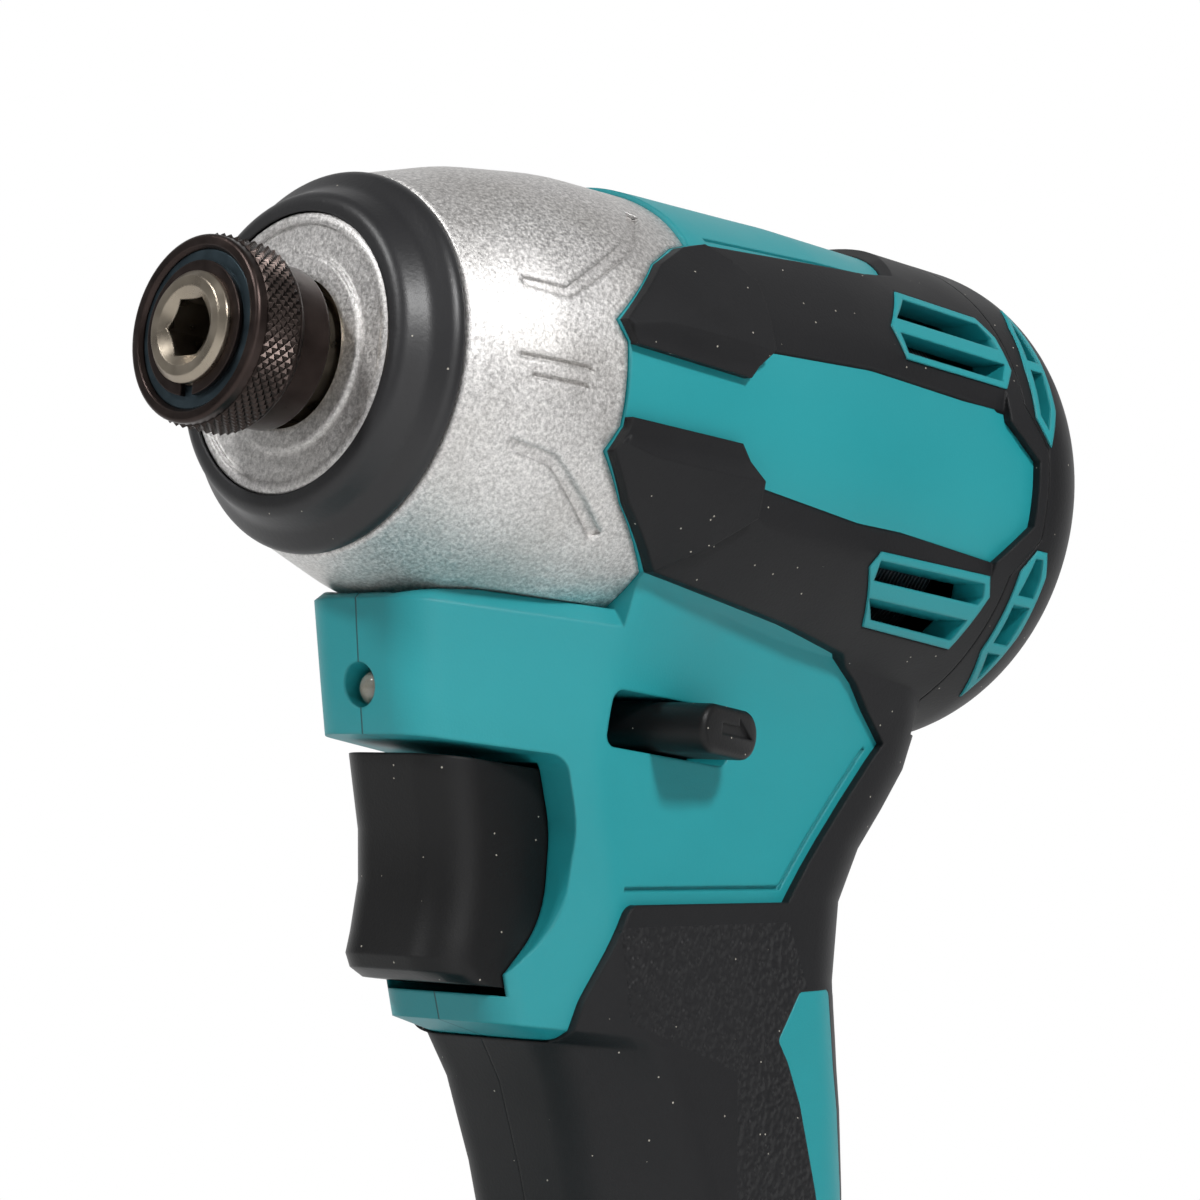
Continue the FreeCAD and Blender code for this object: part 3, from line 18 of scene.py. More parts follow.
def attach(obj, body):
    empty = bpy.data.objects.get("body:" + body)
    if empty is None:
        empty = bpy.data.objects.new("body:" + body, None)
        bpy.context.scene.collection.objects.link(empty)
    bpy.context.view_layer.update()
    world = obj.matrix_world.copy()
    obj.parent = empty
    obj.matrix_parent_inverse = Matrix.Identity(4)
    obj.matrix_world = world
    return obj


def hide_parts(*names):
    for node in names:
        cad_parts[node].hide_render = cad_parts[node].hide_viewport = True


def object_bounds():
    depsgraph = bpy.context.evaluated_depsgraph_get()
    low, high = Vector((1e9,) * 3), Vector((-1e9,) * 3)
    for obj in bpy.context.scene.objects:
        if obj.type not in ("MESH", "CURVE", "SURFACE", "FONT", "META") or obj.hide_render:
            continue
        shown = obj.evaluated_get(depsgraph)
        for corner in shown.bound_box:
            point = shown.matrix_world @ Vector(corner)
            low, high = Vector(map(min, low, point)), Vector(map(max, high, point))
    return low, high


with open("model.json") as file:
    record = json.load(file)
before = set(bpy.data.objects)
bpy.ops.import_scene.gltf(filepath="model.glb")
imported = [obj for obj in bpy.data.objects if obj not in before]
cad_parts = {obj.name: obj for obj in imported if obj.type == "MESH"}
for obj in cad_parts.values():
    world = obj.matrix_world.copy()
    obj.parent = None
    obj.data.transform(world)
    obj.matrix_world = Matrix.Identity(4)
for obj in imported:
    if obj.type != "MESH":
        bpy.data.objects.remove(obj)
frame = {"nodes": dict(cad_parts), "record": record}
nodes = frame["nodes"]
solid_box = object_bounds()
body_of = {name: body for body, names in frame["record"]["behaviour"]["bodies"].items() for name in names}

# %% [markdown]
# ## The camera
#
# The photograph was taken from the front left, from a little below the motor, with a long lens. Its
# position was worked out beforehand from the circles of the bit holder, the bumper and the case, so it
# is set here by numbers. A camera could also be aimed with a Track To constraint, but a plain matrix is
# exact and keeps the slight roll.

# %% Stand the camera where the photograph was taken
azimuth, elevation, roll = (math.radians(angle) for angle in (133.903, -6.950, 5.073))
camera_place = (0.26548, 0.32301, -0.07709)
film_width = 36.0
focal_pixels, photo_pixels = 3800, 1200

backward = Vector((math.sin(azimuth) * math.cos(elevation), -math.cos(azimuth) * math.cos(elevation),
                   math.sin(elevation)))
level = Vector((0, 0, 1)).cross(backward).normalized()
upright = backward.cross(level)
across = level * math.cos(roll) + upright * math.sin(roll)
upwards = upright * math.cos(roll) - level * math.sin(roll)
camera = bpy.data.objects.new("camera", bpy.data.cameras.new("camera"))
camera.data.sensor_width = film_width
camera.data.lens = film_width * focal_pixels / photo_pixels
camera.data.clip_start = 0.01
camera.data.clip_end = 50.0
turned = Matrix((across, upwards, backward)).transposed().to_4x4()
camera.matrix_world = Matrix.Translation(camera_place) @ turned
bpy.context.scene.collection.objects.link(camera)
bpy.context.scene.camera = camera
print("lens", camera.data.lens, "mm")

# %% [markdown]
# ## Small helpers for materials
#
# Colours are easiest to compare with a photograph as hex values, but shaders work in linear light, so
# one function converts them. A second adds a shader node: it is given the node's settings, and what
# feeds its sockets, in one dictionary. Six more wrap the nodes that every material here needs, which
# keeps each material short enough to read at a glance.

# %% Colours and shader nodes
def linear(hex_colour):
    """An sRGB hex value as the linear colour that shaders use."""
    channels = [int(hex_colour[i:i + 2], 16) / 255 for i in (1, 3, 5)]
    return tuple(c / 12.92 if c <= 0.04045 else ((c + 0.055) / 1.055) ** 2.4 for c in channels) + (1.0,)


def add(tree, kind, settings=None):
    """One shader node. A setting is a number, a hex colour, another node's output, or an option."""
    made = tree.nodes.new(kind)
    for key, value in (settings or {}).items():
        if isinstance(key, str) and key not in made.inputs:
            setattr(made, key, value)
        elif isinstance(value, bpy.types.NodeSocket):
            tree.links.new(value, made.inputs[key])
        else:
            made.inputs[key].default_value = linear(value) if isinstance(value, str) else value
    return made


def new_finish(name, settings):
    """An empty material: its tree, its main shader and the place on the object in metres."""
    material = bpy.data.materials.new(name)
    material.use_nodes = True
    tree = material.node_tree
    tree.nodes.clear()
    shader = add(tree, "ShaderNodeBsdfPrincipled", settings)
    add(tree, "ShaderNodeOutputMaterial", {"Surface": shader.outputs[0]})
    place = add(tree, "ShaderNodeTexCoord").outputs["Object"]
    return material, tree, shader, place


print("teal in linear light", [round(c, 3) for c in linear("#1B9097")])

# %% Nodes that every material needs
def noise(tree, place, scale, detail=2.0, rough=0.5):
    """Soft random values about 0.5; scale is in patches per metre."""
    settings = {"Scale": scale, "Detail": detail, "Roughness": rough, "Vector": place}
    return add(tree, "ShaderNodeTexNoise", settings).outputs[0]


def maths(tree, operation, first, second=0.0):
    """One sum of numbers or outputs."""
    return add(tree, "ShaderNodeMath", {"operation": operation, 0: first, 1: second}).outputs[0]


def remap(tree, value, low, high, start, end):
    """A value from between low and high, brought to between start and end."""
    settings = {"Value": value, "From Min": low, "From Max": high, "To Min": start, "To Max": end}
    return add(tree, "ShaderNodeMapRange", settings).outputs[0]


def tint(tree, share, first, second, how="MIX"):
    """Two colours mixed; each is a hex value or an output."""
    settings = {"data_type": "RGBA", "blend_type": how, 0: share, 6: first, 7: second}
    return add(tree, "ShaderNodeMix", settings).outputs[2]


def dress(tree, shader, colour, gloss, patches, wander, normal):
    """Links a finish to its shader; its gloss wanders with the patches of a noise."""
    noise_low, noise_high = 0.3, 0.7
    tree.links.new(colour, shader.inputs["Base Color"])
    rough = remap(tree, patches, noise_low, noise_high, gloss - wander, gloss + wander)
    tree.links.new(rough, shader.inputs["Roughness"])
    tree.links.new(normal, shader.inputs["Normal"])


def relief(tree, height, strength, depth, edge):
    """A bump over normals that are rounded near each edge; depth and edge are in metres."""
    soft = add(tree, "ShaderNodeBevel", {"samples": 4, "Radius": edge}).outputs[0]
    settings = {"Strength": strength, "Distance": depth, "Height": height, "Normal": soft}
    return add(tree, "ShaderNodeBump", settings).outputs[0]


print(len((noise, maths, remap, tint, dress, relief)), "helpers wrap the common nodes")

# %% [markdown]
# ## Moulded plastic
#
# The two housing halves are glass-filled nylon. Their mould was spark-eroded, which leaves a fine even
# grain of about 0.3 mm that breaks the highlights into a soft sheen. A noise texture drives the bump,
# and a slower noise makes the colour and the gloss wander a little, as they do where fingers have
# rubbed. A Bevel node rounds the normals near each edge by a few tenths of a millimetre, because no
# moulded edge is truly sharp. Where the two halves of a moulding meet, in the middle plane, a hairline
# shows. It could be cut into both meshes, but it is thinner than their triangles, so the finish darkens
# a narrow strip there instead.

# %% A finish for grained mouldings
slow_scale = 45.0
speck_share = 0.05
dust = "#A39E94"
hairline_dark, hairline_half, hairline_faded = 0.30, 0.00005, 0.00016


def grained(name, colour, darker, gloss, grain, depth, specks=0.0, parted=False, sheen=0.5):
    """Plastic or rubber with a fine grain; grain and depth are in metres, specks are per metre."""
    material, tree, shader, place = new_finish(name, {"IOR": 1.5, "Specular IOR Level": sheen})
    slow = noise(tree, place, slow_scale, 3.0)
    fine = noise(tree, place, 1 / grain, 2.0, 0.6)
    tone = tint(tree, slow, darker, colour)
    if specks:
        dots = add(tree, "ShaderNodeTexVoronoi", {"Scale": specks, "Vector": place})
        near = maths(tree, "LESS_THAN", dots.outputs["Distance"], speck_share)
        tone = tint(tree, near, tone, dust)
    if parted:
        across_tool = add(tree, "ShaderNodeSeparateXYZ", {0: place}).outputs[1]
        away = maths(tree, "ABSOLUTE", across_tool)
        line = remap(tree, away, hairline_half, hairline_faded, hairline_dark, 1.0)
        tone = tint(tree, 1.0, tone, line, "MULTIPLY")
    dress(tree, shader, tone, gloss, slow, 0.06, relief(tree, fine, 0.5, depth, 0.0005))
    return material


teal_nylon = grained("moulded_glass_filled_nylon_teal", "#1B9097", "#15858C", 0.48, 0.00030, 0.00004,
                     parted=True)
black_nylon = grained("moulded_nylon_black", "#111112", "#0C0C0D", 0.42, 0.00035, 0.00005,
                      specks=430.0, sheen=0.28)
red_nylon = grained("moulded_nylon_red", "#A8252B", "#8C1D22", 0.40, 0.00030, 0.00004)
print("plastics", teal_nylon.name, black_nylon.name, red_nylon.name)

# %% [markdown]
# ## Overmoulded rubber
#
# The grip and the bumper are a thermoplastic elastomer: nearly black, satin rather than glossy, and
# always a little dusty. The part of the grip under the palm has a coarse pebbled patch. Instead of a
# second mesh, the patch is a region of the same material, cut out in the side view by a few straight
# edges. A shader can test a convex outline edge by edge, so the patch is made of two of them.

# %% Elastomer, plain and with its pebbled patch
rubber = grained("overmoulded_elastomer_black", "#151517", "#101012", 0.50, 0.00040, 0.00005,
                 specks=430.0, parted=True, sheen=0.28)
bumper_rubber = grained("moulded_bumper_elastomer", "#222224", "#19191B", 0.42, 0.00060, 0.00005,
                        specks=430.0)

patch_upper = [(-0.0612, -0.0610), (-0.0923, -0.0576), (-0.0970, -0.0660), (-0.0970, -0.0780),
               (-0.0840, -0.0765), (-0.0646, -0.0720)]
patch_lower = [(-0.0840, -0.0760), (-0.1000, -0.0760), (-0.1040, -0.1180), (-0.0880, -0.1180)]
pebble = 0.0008
pebble_depth = 0.00045


def inside_outline(tree, place, corners):
    """1 inside a convex outline in the side view, whose (x, z) corners go anticlockwise, else 0."""
    inside = 1.0
    for (x0, z0), (x1, z1) in zip(corners, corners[1:] + corners[:1]):
        inward = Vector((-(z1 - z0), 0, x1 - x0)).normalized()
        reach = add(tree, "ShaderNodeVectorMath", {"operation": "DOT_PRODUCT", 0: place, 1: inward})
        past = maths(tree, "GREATER_THAN", reach.outputs["Value"], inward.dot(Vector((x0, 0, z0))))
        inside = maths(tree, "MULTIPLY", past, inside)
    return inside


def pebbled_grip():
    """The elastomer again, with pebbles inside the patch."""
    material = grained("overmoulded_elastomer_pebbled", "#18181A", "#121214", 0.52, 0.00040, 0.00005,
                       specks=430.0, parted=True, sheen=0.28)
    tree = material.node_tree
    shader = tree.nodes["Principled BSDF"]
    place = tree.nodes["Texture Coordinate"].outputs["Object"]
    upper = inside_outline(tree, place, patch_upper)
    lower = inside_outline(tree, place, patch_lower)
    patch = maths(tree, "MAXIMUM", upper, lower)
    pebbles = add(tree, "ShaderNodeTexVoronoi", {"feature": "SMOOTH_F1", "Scale": 1 / pebble,
                                                 "Vector": place})
    height = maths(tree, "MULTIPLY", patch, pebbles.outputs["Distance"])
    fine_grain = shader.inputs["Normal"].links[0].from_node.outputs[0]
    coarse = add(tree, "ShaderNodeBump", {"invert": True, "Strength": 1.0, "Distance": pebble_depth,
                                          "Height": height, "Normal": fine_grain})
    tree.links.new(coarse.outputs[0], shader.inputs["Normal"])
    return material


grip_rubber = pebbled_grip()
print("patch outlines of", len(patch_upper), "and", len(patch_lower), "corners")

# %% [markdown]
# ## Metals
#
# The hammer case is cast aluminium under a tumbled silver finish, whose crystals catch the light one by
# one. The bit sleeve is steel with a brown-black oxide skin. The anvil and the gears are bare ground
# steel. Metals keep the shader's own IOR; their character comes from colour, roughness and the
# direction of their scratches.

# %% Cast aluminium
crystal = 0.00045


def cast_aluminium():
    """Silver crystals under faint smudges."""
    material, tree, shader, place = new_finish("cast_aluminium_tumbled", {"Metallic": 0.85})
    crystals = noise(tree, place, 1 / crystal, 4.0, 0.75)
    clouds = noise(tree, place, 60.0, 4.0)
    grain = tint(tree, remap(tree, crystals, 0.35, 0.65, 0.0, 1.0), "#ADABAA", "#F0EEEC")
    smudged = tint(tree, remap(tree, clouds, 0.45, 0.75, 0.0, 0.35), grain, "#AAA59E")
    dress(tree, shader, smudged, 0.47, crystals, 0.11, relief(tree, crystals, 0.6, 0.00009, 0.0009))
    return material


cast_case = cast_aluminium()
print("case finish", cast_case.name)

# %% Turned, ground and oxidised steel
ring_pitch = 0.00018
ring_depth = 0.000015


def turned_metal(name, colour, darker, gloss, edge=0.00025):
    """Metal finished on a lathe: faint rings about the spindle axis."""
    material, tree, shader, place = new_finish(name, {"Metallic": 1.0})
    split = add(tree, "ShaderNodeSeparateXYZ", {0: place}).outputs
    out = add(tree, "ShaderNodeCombineXYZ", {1: split[1], 2: split[2]}).outputs[0]
    radius = add(tree, "ShaderNodeVectorMath", {"operation": "LENGTH", 0: out}).outputs["Value"]
    tool_path = add(tree, "ShaderNodeCombineXYZ", {0: split[0], 1: radius}).outputs[0]
    rings = noise(tree, tool_path, 1 / ring_pitch)
    stains = noise(tree, place, 350.0, 4.0)
    tone = tint(tree, stains, darker, colour)
    dress(tree, shader, tone, gloss, stains, 0.08, relief(tree, rings, 0.5, ring_depth, edge))
    return material


anvil_steel = turned_metal("ground_alloy_steel_anvil", "#AFA596", "#92887A", 0.32)
gear_steel = turned_metal("hardened_gear_steel", "#8C8983", "#6E6B66", 0.34)
oxide_steel = turned_metal("brown_black_oxide_steel", "#4A403D", "#2E2624", 0.34)
screw_steel = turned_metal("zinc_black_screw_steel", "#2B2B2D", "#1B1B1D", 0.38)
blued_steel = turned_metal("blued_spring_steel_washer", "#4A5961", "#37444B", 0.38)
race_steel = turned_metal("polished_bearing_steel", "#B9BABC", "#9A9B9D", 0.18)
wire_steel = turned_metal("drawn_spring_wire", "#86878A", "#66676A", 0.30)
bush_bronze = turned_metal("oil_darkened_sintered_bronze", "#4A4034", "#332C24", 0.45)
blade_copper = turned_metal("tinned_copper_blades", "#B98D63", "#9A7450", 0.30)
print("metals", len([m for m in bpy.data.materials if "steel" in m.name]))

# %% [markdown]
# ## Finishes of the hidden pieces
#
# Inside are thin steel sheets stacked into cores, enamelled copper wire and sleeved cells. Each has one
# pattern that tells what it is: sheets every 0.7 mm along the shaft, wires side by side. The grooves
# between sheets, wires and cells are coloured darker where the bump is low. This is painted shade, and
# between the sheets partly their own dark joints. The lamp above the trigger is clear resin, faintly cloudy.

# %% Stacked sheet, wound wire and shrink sleeve
def layered(name, colour, darker, gloss, pitch, direction, metallic=1.0):
    """Layers of one thickness along an axis, such as sheets or wires, darker in the grooves between them:
    painted shade, and between sheets partly their dark joints.
    """
    material, tree, shader, place = new_finish(name, {"Metallic": metallic})
    along = add(tree, "ShaderNodeVectorMath", {"operation": "DOT_PRODUCT", 0: place, 1: direction})
    phase = maths(tree, "MULTIPLY", along.outputs["Value"], 2 * math.pi / pitch)
    ridge_height_and_shade = remap(tree, maths(tree, "SINE", phase), -1.0, 1.0, 0.0, 1.0)
    # Painted shade: the colour is darker in the grooves, where the bump is low; between sheets this is
    # partly their dark joints.
    tone = tint(tree, ridge_height_and_shade, darker, colour)
    bump = add(tree, "ShaderNodeBump", {"Strength": 0.7, "Distance": pitch / 4, "Height": ridge_height_and_shade})
    dress(tree, shader, tone, gloss, noise(tree, place, 300.0), 0.05, bump.outputs[0])
    return material


sheet_steel = layered("stacked_silicon_steel_sheet", "#7A7B80", "#4D4E52", 0.40, 0.0007, (1.0, 0.0, 0.0))
magnet_wire = layered("enamelled_copper_wire", "#B4622F", "#6B3215", 0.28, 0.0011, (0.6, 0.55, 0.55))
cell_sleeve = layered("heat_shrunk_cell_sleeve", "#1F7A57", "#1A6A4B", 0.35, 0.0150, (0.0, 1.0, 0.0), 0.0)
board_green = grained("lacquered_circuit_board", "#1E4A33", "#163626", 0.35, 0.0020, 0.00020)
print("inner finishes", sheet_steel.name, magnet_wire.name)

# %% Clear resin
def clear_resin():
    """Resin of a small lamp, faintly cloudy."""
    material, tree, shader, place = new_finish("clear_lamp_resin", {"IOR": 1.5, "Transmission Weight": 0.75})
    cloud = noise(tree, place, 900.0)
    tree.links.new(tint(tree, cloud, "#D9CFB4", "#FFFDF4"), shader.inputs["Base Color"])
    tree.links.new(remap(tree, cloud, 0.0, 1.0, 0.02, 0.10), shader.inputs["Roughness"])
    return material


lamp_resin = clear_resin()
print("lamp finish", lamp_resin.name)

# %% [markdown]
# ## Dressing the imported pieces
#
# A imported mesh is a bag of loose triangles, so it would shade as facets. For the pieces that show, a
# merged copy stands in for it: the triangles are welded, shaded smooth, and kept crisp wherever two
# faces meet at more than a set angle. Nothing moves, so the copy is exactly as large as the solid.

# %% Welding, shading and placing a mesh
weld = 2e-6


def welded(node):
    """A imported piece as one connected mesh."""
    mesh = bmesh.new()
    mesh.from_mesh(nodes[node].data)
    bmesh.ops.remove_doubles(mesh, verts=mesh.verts, dist=weld)
    return mesh


def shade(mesh, crisp):
    """Smooth faces, with a crisp edge wherever two of them meet at more than an angle in degrees."""
    for face in mesh.faces:
        face.smooth = True
        face.material_index = 0
    for edge in mesh.edges:
        edge.smooth = len(edge.link_faces) == 2 and edge.calc_face_angle() < math.radians(crisp)


def as_object(name, mesh, finish):
    """Turns a mesh under work into an object with one finish."""
    data = bpy.data.meshes.new(name)
    mesh.to_mesh(data)
    mesh.free()
    data.materials.append(finish)
    made = bpy.data.objects.new(name, data)
    bpy.context.scene.collection.objects.link(made)
    return made


def points_of(geometry):
    """Only the points in what an operator gives back."""
    return [item for item in geometry if isinstance(item, bmesh.types.BMVert)]


print("a point merges with another within", weld, "m")

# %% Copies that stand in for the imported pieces
def smooth_copy(node, finish, crisp=28.0):
    """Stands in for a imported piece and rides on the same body."""
    mesh = welded(node)
    shade(mesh, crisp)
    piece = as_object(node + "_shown", mesh, finish)
    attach(piece, body_of[node])
    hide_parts(node)


shown = {
    "hammer_case": cast_case, "front_bumper": bumper_rubber, "housing_left": teal_nylon,
    "housing_right": teal_nylon, "grip_rubber_left": grip_rubber, "grip_rubber_right": grip_rubber,
    "rear_cover": teal_nylon, "rear_rubber": rubber, "trigger": black_nylon,
    "anvil": anvil_steel, "retaining_ring": oxide_steel, "sleeve_washer": blued_steel, "led": lamp_resin,
    "battery_cover": black_nylon, "battery_case": black_nylon, "release_button": red_nylon,
    "belt_hook": wire_steel, "hook_screw": screw_steel, "housing_screws": screw_steel,
    "cover_screws": screw_steel, "bit_sleeve": oxide_steel}
for name, finish in shown.items():
    smooth_copy(name, finish)
print(len(shown), "pieces shown as welded copies")

# %% [markdown]
# ## The reversing lever
#
# The lever's ears end in a small pill with rounded rims and an arrow pressed into it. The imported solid
# has the pill but sharp rims. Its flat faces are first dissolved into single ones, because a bevel
# can't run cleanly past the loose triangles of a flat face; then the rims are bevelled. The arrow could
# be painted, but a pressed arrow catches the light along its edges, so a small wedge is really cut out
# with a Boolean modifier, which is applied at once.

# %% Bevel the rims of the lever
rim = 0.0008
lever_pivot = Vector((-0.090, 0.0, 0.0))
lever_turn = Matrix.Rotation(math.radians(10.0), 3, "Z")
ear_direction = lever_turn @ Vector((0, 1, 0))
ear_start = 0.015

mesh = welded("reversing_lever")
bmesh.ops.dissolve_limit(mesh, angle_limit=math.radians(1.0), verts=mesh.verts, edges=mesh.edges)
ends = [face for face in mesh.faces
        if abs(face.normal.dot(ear_direction)) > 0.99 and abs(face.calc_center_median().y) > ear_start]
rims = list({edge for face in ends for edge in face.edges})
bmesh.ops.bevel(mesh, geom=rims, offset=rim, segments=4, profile=0.5, affect="EDGES", material=-1)
shade(mesh, 32.0)
lever = as_object("reversing_lever_shown", mesh, black_nylon)
print("lever rims bevelled:", len(rims), "edges on", len(ends), "ends")

# %% Press an arrow into each ear
arrow = [(-0.0646, -0.0370), (-0.0646, -0.0357), (-0.0684, -0.0357), (-0.0684, -0.0347), (-0.0716, -0.0370)]
arrow_depth = 0.00035
wedge_height = 0.002
ear_end = 0.0195
ear_middle = -0.06675


def wedge_for(side):
    """The arrow as a thin solid at the ear on one side; on the right it points forward."""
    wedge = bmesh.new()
    floor_y = side * (ear_end - arrow_depth)
    face = wedge.faces.new([wedge.verts.new((x if side > 0 else 2 * ear_middle - x, floor_y, z))
                            for x, z in arrow])
    pulled = bmesh.ops.extrude_face_region(wedge, geom=[face])["geom"]
    bmesh.ops.translate(wedge, verts=points_of(pulled), vec=(0, side * wedge_height, 0))
    bmesh.ops.recalc_face_normals(wedge, faces=wedge.faces)
    bmesh.ops.rotate(wedge, verts=wedge.verts, cent=lever_pivot, matrix=lever_turn)
    return as_object("arrow_wedge", wedge, black_nylon)


def press(cutter):
    """Cuts a solid out of the lever."""
    cut = lever.modifiers.new("arrow", "BOOLEAN")
    cut.operation = "DIFFERENCE"
    cut.solver = "EXACT"
    cut.object = cutter
    evaluated = lever.evaluated_get(bpy.context.evaluated_depsgraph_get())
    pressed = bpy.data.meshes.new_from_object(evaluated)
    lever.modifiers.remove(cut)
    lever.data = pressed
    bpy.data.objects.remove(cutter)


faces_before = len(lever.data.polygons)
for side in (1, -1):
    press(wedge_for(side))
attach(lever, "lever")
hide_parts("reversing_lever")
print("lever faces", faces_before, "->", len(lever.data.polygons))

# %% [markdown]
# ## The knurl on the bit sleeve
#
# The sleeve is rolled against two crossed wheels, which raise rows of small pyramids about 1.2 mm
# apart. A bump texture would look right from the front, but flat at the rim, where the eye checks
# first. So the pyramids are made: a line is spun into a band of squares, each square is poked, the
# squares' own edges are dissolved so that diamonds are left, and each diamond is poked outwards. The
# band is then closed on its inside.

# %% Roll the knurl
knurl_front, knurl_back, knurl_radius = -0.0027, -0.0075, 0.01079
knurl_rows, knurl_columns, knurl_height = 4, 56, 0.00036
inner_share = 0.965

knurl = bmesh.new()
line = knurl.edges.new([knurl.verts.new((x, knurl_radius, 0.0)) for x in (knurl_front, knurl_back)])
bmesh.ops.subdivide_edges(knurl, edges=[line], cuts=knurl_rows - 1)
bmesh.ops.spin(knurl, geom=knurl.verts[:] + knurl.edges[:], cent=(0, 0, 0), axis=(1, 0, 0), dvec=(0, 0, 0),
               angle=2 * math.pi, steps=knurl_columns, use_merge=True, use_duplicate=False)
bmesh.ops.remove_doubles(knurl, verts=knurl.verts, dist=weld / 2)
first = knurl.faces[:][0]
first.normal_update()
if first.normal.dot(first.calc_center_median() * Vector((0, 1, 1))) < 0:
    bmesh.ops.reverse_faces(knurl, faces=knurl.faces)
square_edges = knurl.edges[:]
bmesh.ops.poke(knurl, faces=knurl.faces[:], offset=0.0)
inner_edges = [edge for edge in square_edges if len(edge.link_faces) == 2]
bmesh.ops.dissolve_edges(knurl, edges=inner_edges, use_verts=False)
diamonds = len(knurl.faces)
bmesh.ops.poke(knurl, faces=knurl.faces[:], offset=knurl_height)
print("knurl of", diamonds, "diamonds")

# %% Close the band and put it on the sleeve
rims = [edge for edge in knurl.edges if edge.is_boundary]
drawn = bmesh.ops.extrude_edge_only(knurl, edges=rims)["geom"]
bmesh.ops.scale(knurl, verts=points_of(drawn), vec=(1.0, inner_share, inner_share))
bmesh.ops.bridge_loops(knurl, edges=[edge for edge in knurl.edges if edge.is_boundary])
open_edges = sum(1 for edge in knurl.edges if edge.is_boundary)
knurl_steel = turned_metal("rolled_oxide_steel_knurl", "#423A37", "#2C2624", 0.36, edge=0.00006)
knurl_band = as_object("sleeve_knurl", knurl, knurl_steel)
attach(knurl_band, "sleeve")
print("open edges:", open_edges)

# %% [markdown]
# ## The lamp's chip
#
# Behind the clear dome of the lamp sits a square chip under yellow phosphor. A glass shader over an
# empty body would look hollow, so a small stepped plate is set inside.

# %% Chip inside the lamp
chip_half, chip_thickness, chip_step = 0.0009, 0.0008, 0.0002
chip_place = (-0.0375, 0.0, -0.0360)

chip = bmesh.new()
bmesh.ops.create_grid(chip, x_segments=1, y_segments=1, size=chip_half)
bmesh.ops.rotate(chip, verts=chip.verts, cent=(0, 0, 0), matrix=Matrix.Rotation(math.pi / 2, 3, "Y"))
bmesh.ops.translate(chip, verts=chip.verts, vec=chip_place)
grown = bmesh.ops.extrude_face_region(chip, geom=chip.faces[:])["geom"]
bmesh.ops.translate(chip, verts=points_of(grown), vec=(chip_thickness, 0, 0))
bmesh.ops.recalc_face_normals(chip, faces=chip.faces)
top = max(chip.faces, key=lambda face: face.calc_center_median().x)
bmesh.ops.inset_individual(chip, faces=[top], thickness=chip_step, depth=chip_step)
phosphor = grained("cast_phosphor_yellow", "#D8B25A", "#B98F3C", 0.45, 0.00020, 0.00002)
lamp_chip = as_object("lamp_chip", chip, phosphor)
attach(lamp_chip, "tool")
print("chip", len(lamp_chip.data.polygons), "faces")

# %% [markdown]
# ## The pieces inside
#
# The gears, the motor and the cells are seen only through the grilles, or when the tool is taken apart.
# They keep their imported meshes, and each takes one of the finishes above.

# %% Finishes of the pieces inside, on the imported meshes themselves
inside = {
    "hammer": gear_steel, "spindle": gear_steel, "planet_pins": race_steel, "planet_gear_1": gear_steel,
    "planet_gear_2": gear_steel, "planet_gear_3": gear_steel, "ring_gear": gear_steel,
    "rotor_shaft": gear_steel, "detent_balls": race_steel, "cam_balls": race_steel,
    "sleeve_spring": wire_steel, "hammer_spring": wire_steel, "spring_washer": blued_steel,
    "anvil_bush": bush_bronze, "gear_cover": cast_case, "spindle_bearing": race_steel,
    "front_motor_bearing": race_steel, "rear_motor_bearing": race_steel, "rotor_core": sheet_steel,
    "stator_core": sheet_steel, "windings": magnet_wire, "fan": black_nylon, "switch_body": black_nylon,
    "controller": board_green, "terminal_block": black_nylon, "terminal_blades": blade_copper,
    "battery_cells": cell_sleeve}
for name, finish in inside.items():
    data = nodes[name].data
    data.materials.clear()
    data.materials.append(finish)
    data.polygons.foreach_set("material_index", [0] * len(data.polygons))
print("unfinished pieces:", sorted(set(nodes) - set(shown) - set(inside) - {"reversing_lever"}))

# %% [markdown]
# ## Floor, lamps and surroundings
#
# A product photograph like this one has a white surround and a few lamps. The floor is a pale sheet
# that the tool stands on. The camera sees it mostly as plain white with the tool's shadow laid over it,
# and fully white further out, where it meets the white surround. Rays that carry light to the tool
# don't find that white, so it doesn't wash out the colours. Reflections find it on the tool's far side
# and below, as they would find a backdrop and a table, and a dim room elsewhere.

# %% Where rays find the white surround
backdrop = Vector((0.65, 0.65, 0.35)).normalized()
room_share = 0.10
room_end, backdrop_start = 0.1, 0.8


def seen_directly(tree):
    """1 for rays from the camera, 0 for rays that light things, and reflections by their direction."""
    path = add(tree, "ShaderNodeLightPath").outputs
    mirrored = maths(tree, "MAXIMUM", path["Is Glossy Ray"], path["Is Transmission Ray"])
    heading = add(tree, "ShaderNodeNewGeometry").outputs["Incoming"]
    facing = add(tree, "ShaderNodeVectorMath", {"operation": "DOT_PRODUCT", 0: heading, 1: backdrop})
    share = remap(tree, facing.outputs["Value"], room_end, backdrop_start, room_share, 1.0)
    return maths(tree, "MAXIMUM", path["Is Camera Ray"], maths(tree, "MULTIPLY", mirrored, share))


print("reflections find the backdrop from", backdrop_start, "of its direction on")

# %% Floor
floor_reach = 1.3
floor_middle = -0.06
floor_glow, glow_start, glow_end = 0.62, 0.35, 1.0

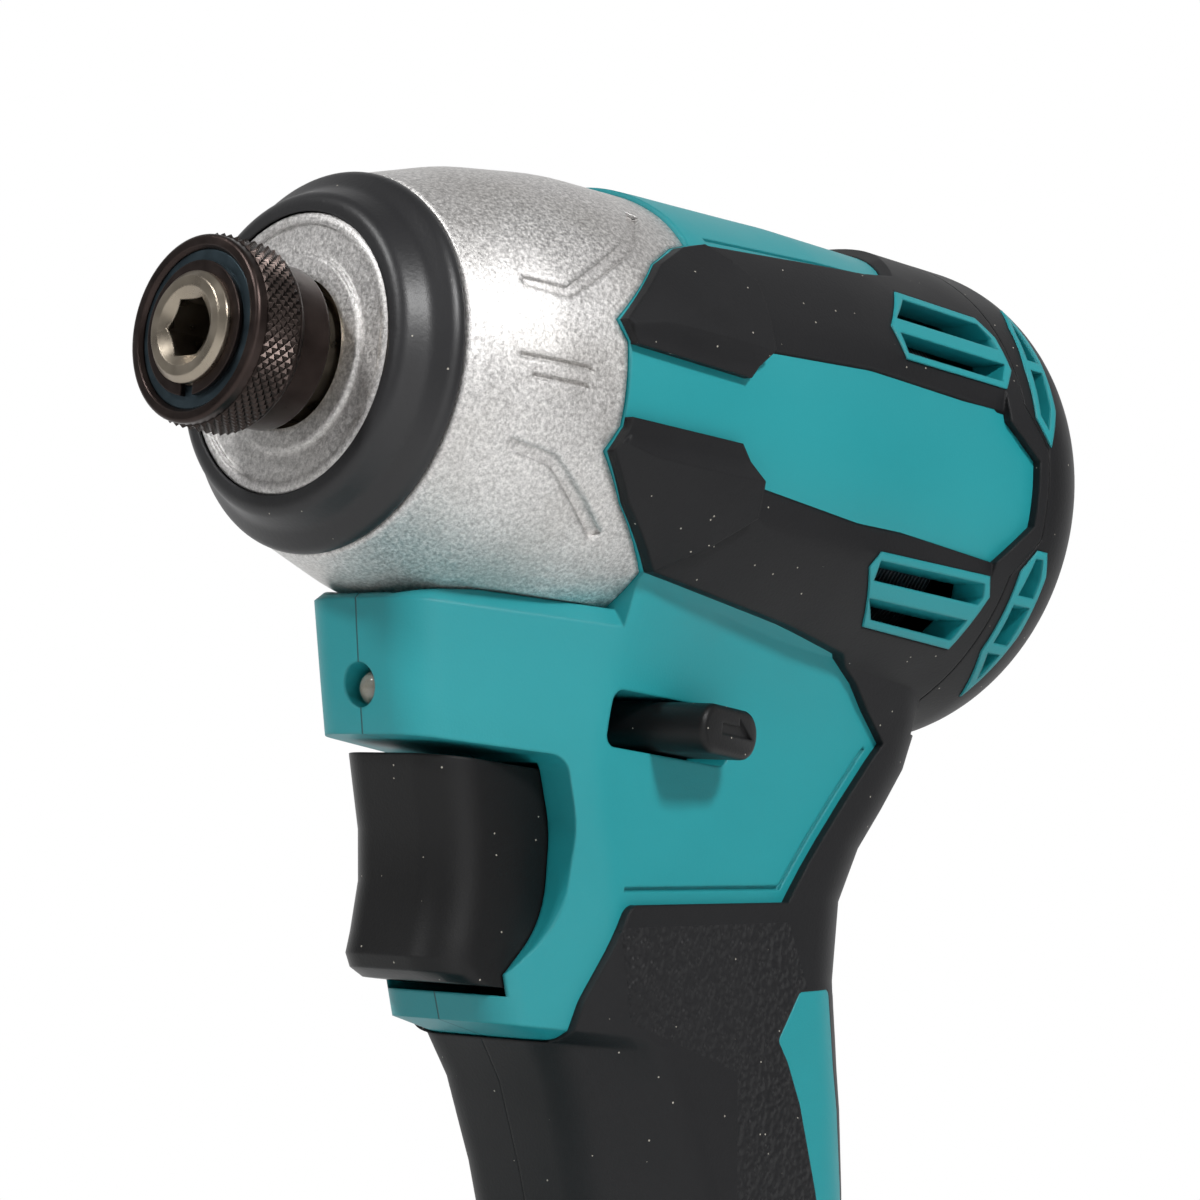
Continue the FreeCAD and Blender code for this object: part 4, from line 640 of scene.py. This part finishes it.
sheet = bmesh.new()
bmesh.ops.create_grid(sheet, x_segments=1, y_segments=1, size=floor_reach)
bmesh.ops.translate(sheet, verts=sheet.verts, vec=(floor_middle, 0, solid_box[0][2]))
floor_finish, tree, shader, place = new_finish("white_painted_board", {"Roughness": 0.6})
mottled = tint(tree, noise(tree, place, 8.0), "#F4F4F3", "#FAFAFA")
tree.links.new(mottled, shader.inputs["Base Color"])
distance = add(tree, "ShaderNodeVectorMath", {"operation": "LENGTH", 0: place}).outputs["Value"]
fade = remap(tree, distance, glow_start, glow_end, floor_glow, 1.0)
share = maths(tree, "MULTIPLY", fade, seen_directly(tree))
glow = add(tree, "ShaderNodeEmission", {"Color": "#FFFFFF", "Strength": 1.0}).outputs[0]
blend = add(tree, "ShaderNodeMixShader", {0: share, 1: shader.outputs[0], 2: glow})
ending = next(node for node in tree.nodes if node.bl_idname == "ShaderNodeOutputMaterial")
tree.links.new(blend.outputs[0], ending.inputs["Surface"])
floor = as_object("floor", sheet, floor_finish)
print("floor", 2 * floor_reach, "m wide")

# %% Lamps
middle = Vector((-0.06, 0.0, -0.04))


def lamp(name, direction, distance, size, power):
    """A square lamp that faces the middle of the tool."""
    light = bpy.data.lights.new(name, "AREA")
    light.size = size
    light.energy = power
    made = bpy.data.objects.new(name, light)
    made.location = middle + distance * Vector(direction)
    made.rotation_euler = (middle - made.location).to_track_quat("-Z", "Y").to_euler()
    bpy.context.scene.collection.objects.link(made)


lamp("side_key", (0.16, 0.78, 0.60), 1.15, 0.16, 10.5)
lamp("front_key", (0.80, -0.20, 0.56), 1.15, 0.12, 6.0)
lamp("low_fill", (0.30, 0.90, -0.08), 0.95, 0.60, 1.0)
print(len(bpy.data.lights), "lamps")

# %% Surroundings
room_light = 0.16

world = bpy.data.worlds.new("surroundings")
bpy.context.scene.world = world
world.use_nodes = True
tree = world.node_tree
tree.nodes.clear()
dim = add(tree, "ShaderNodeBackground", {"Color": "#FFFFFF", "Strength": room_light}).outputs[0]
white = add(tree, "ShaderNodeBackground", {"Color": "#FFFFFF", "Strength": 1.0}).outputs[0]
both = add(tree, "ShaderNodeMixShader", {0: seen_directly(tree), 1: dim, 2: white}).outputs[0]
add(tree, "ShaderNodeOutputWorld", {"Surface": both})
bpy.context.scene.view_settings.view_transform = "Standard"
print("room light", room_light)
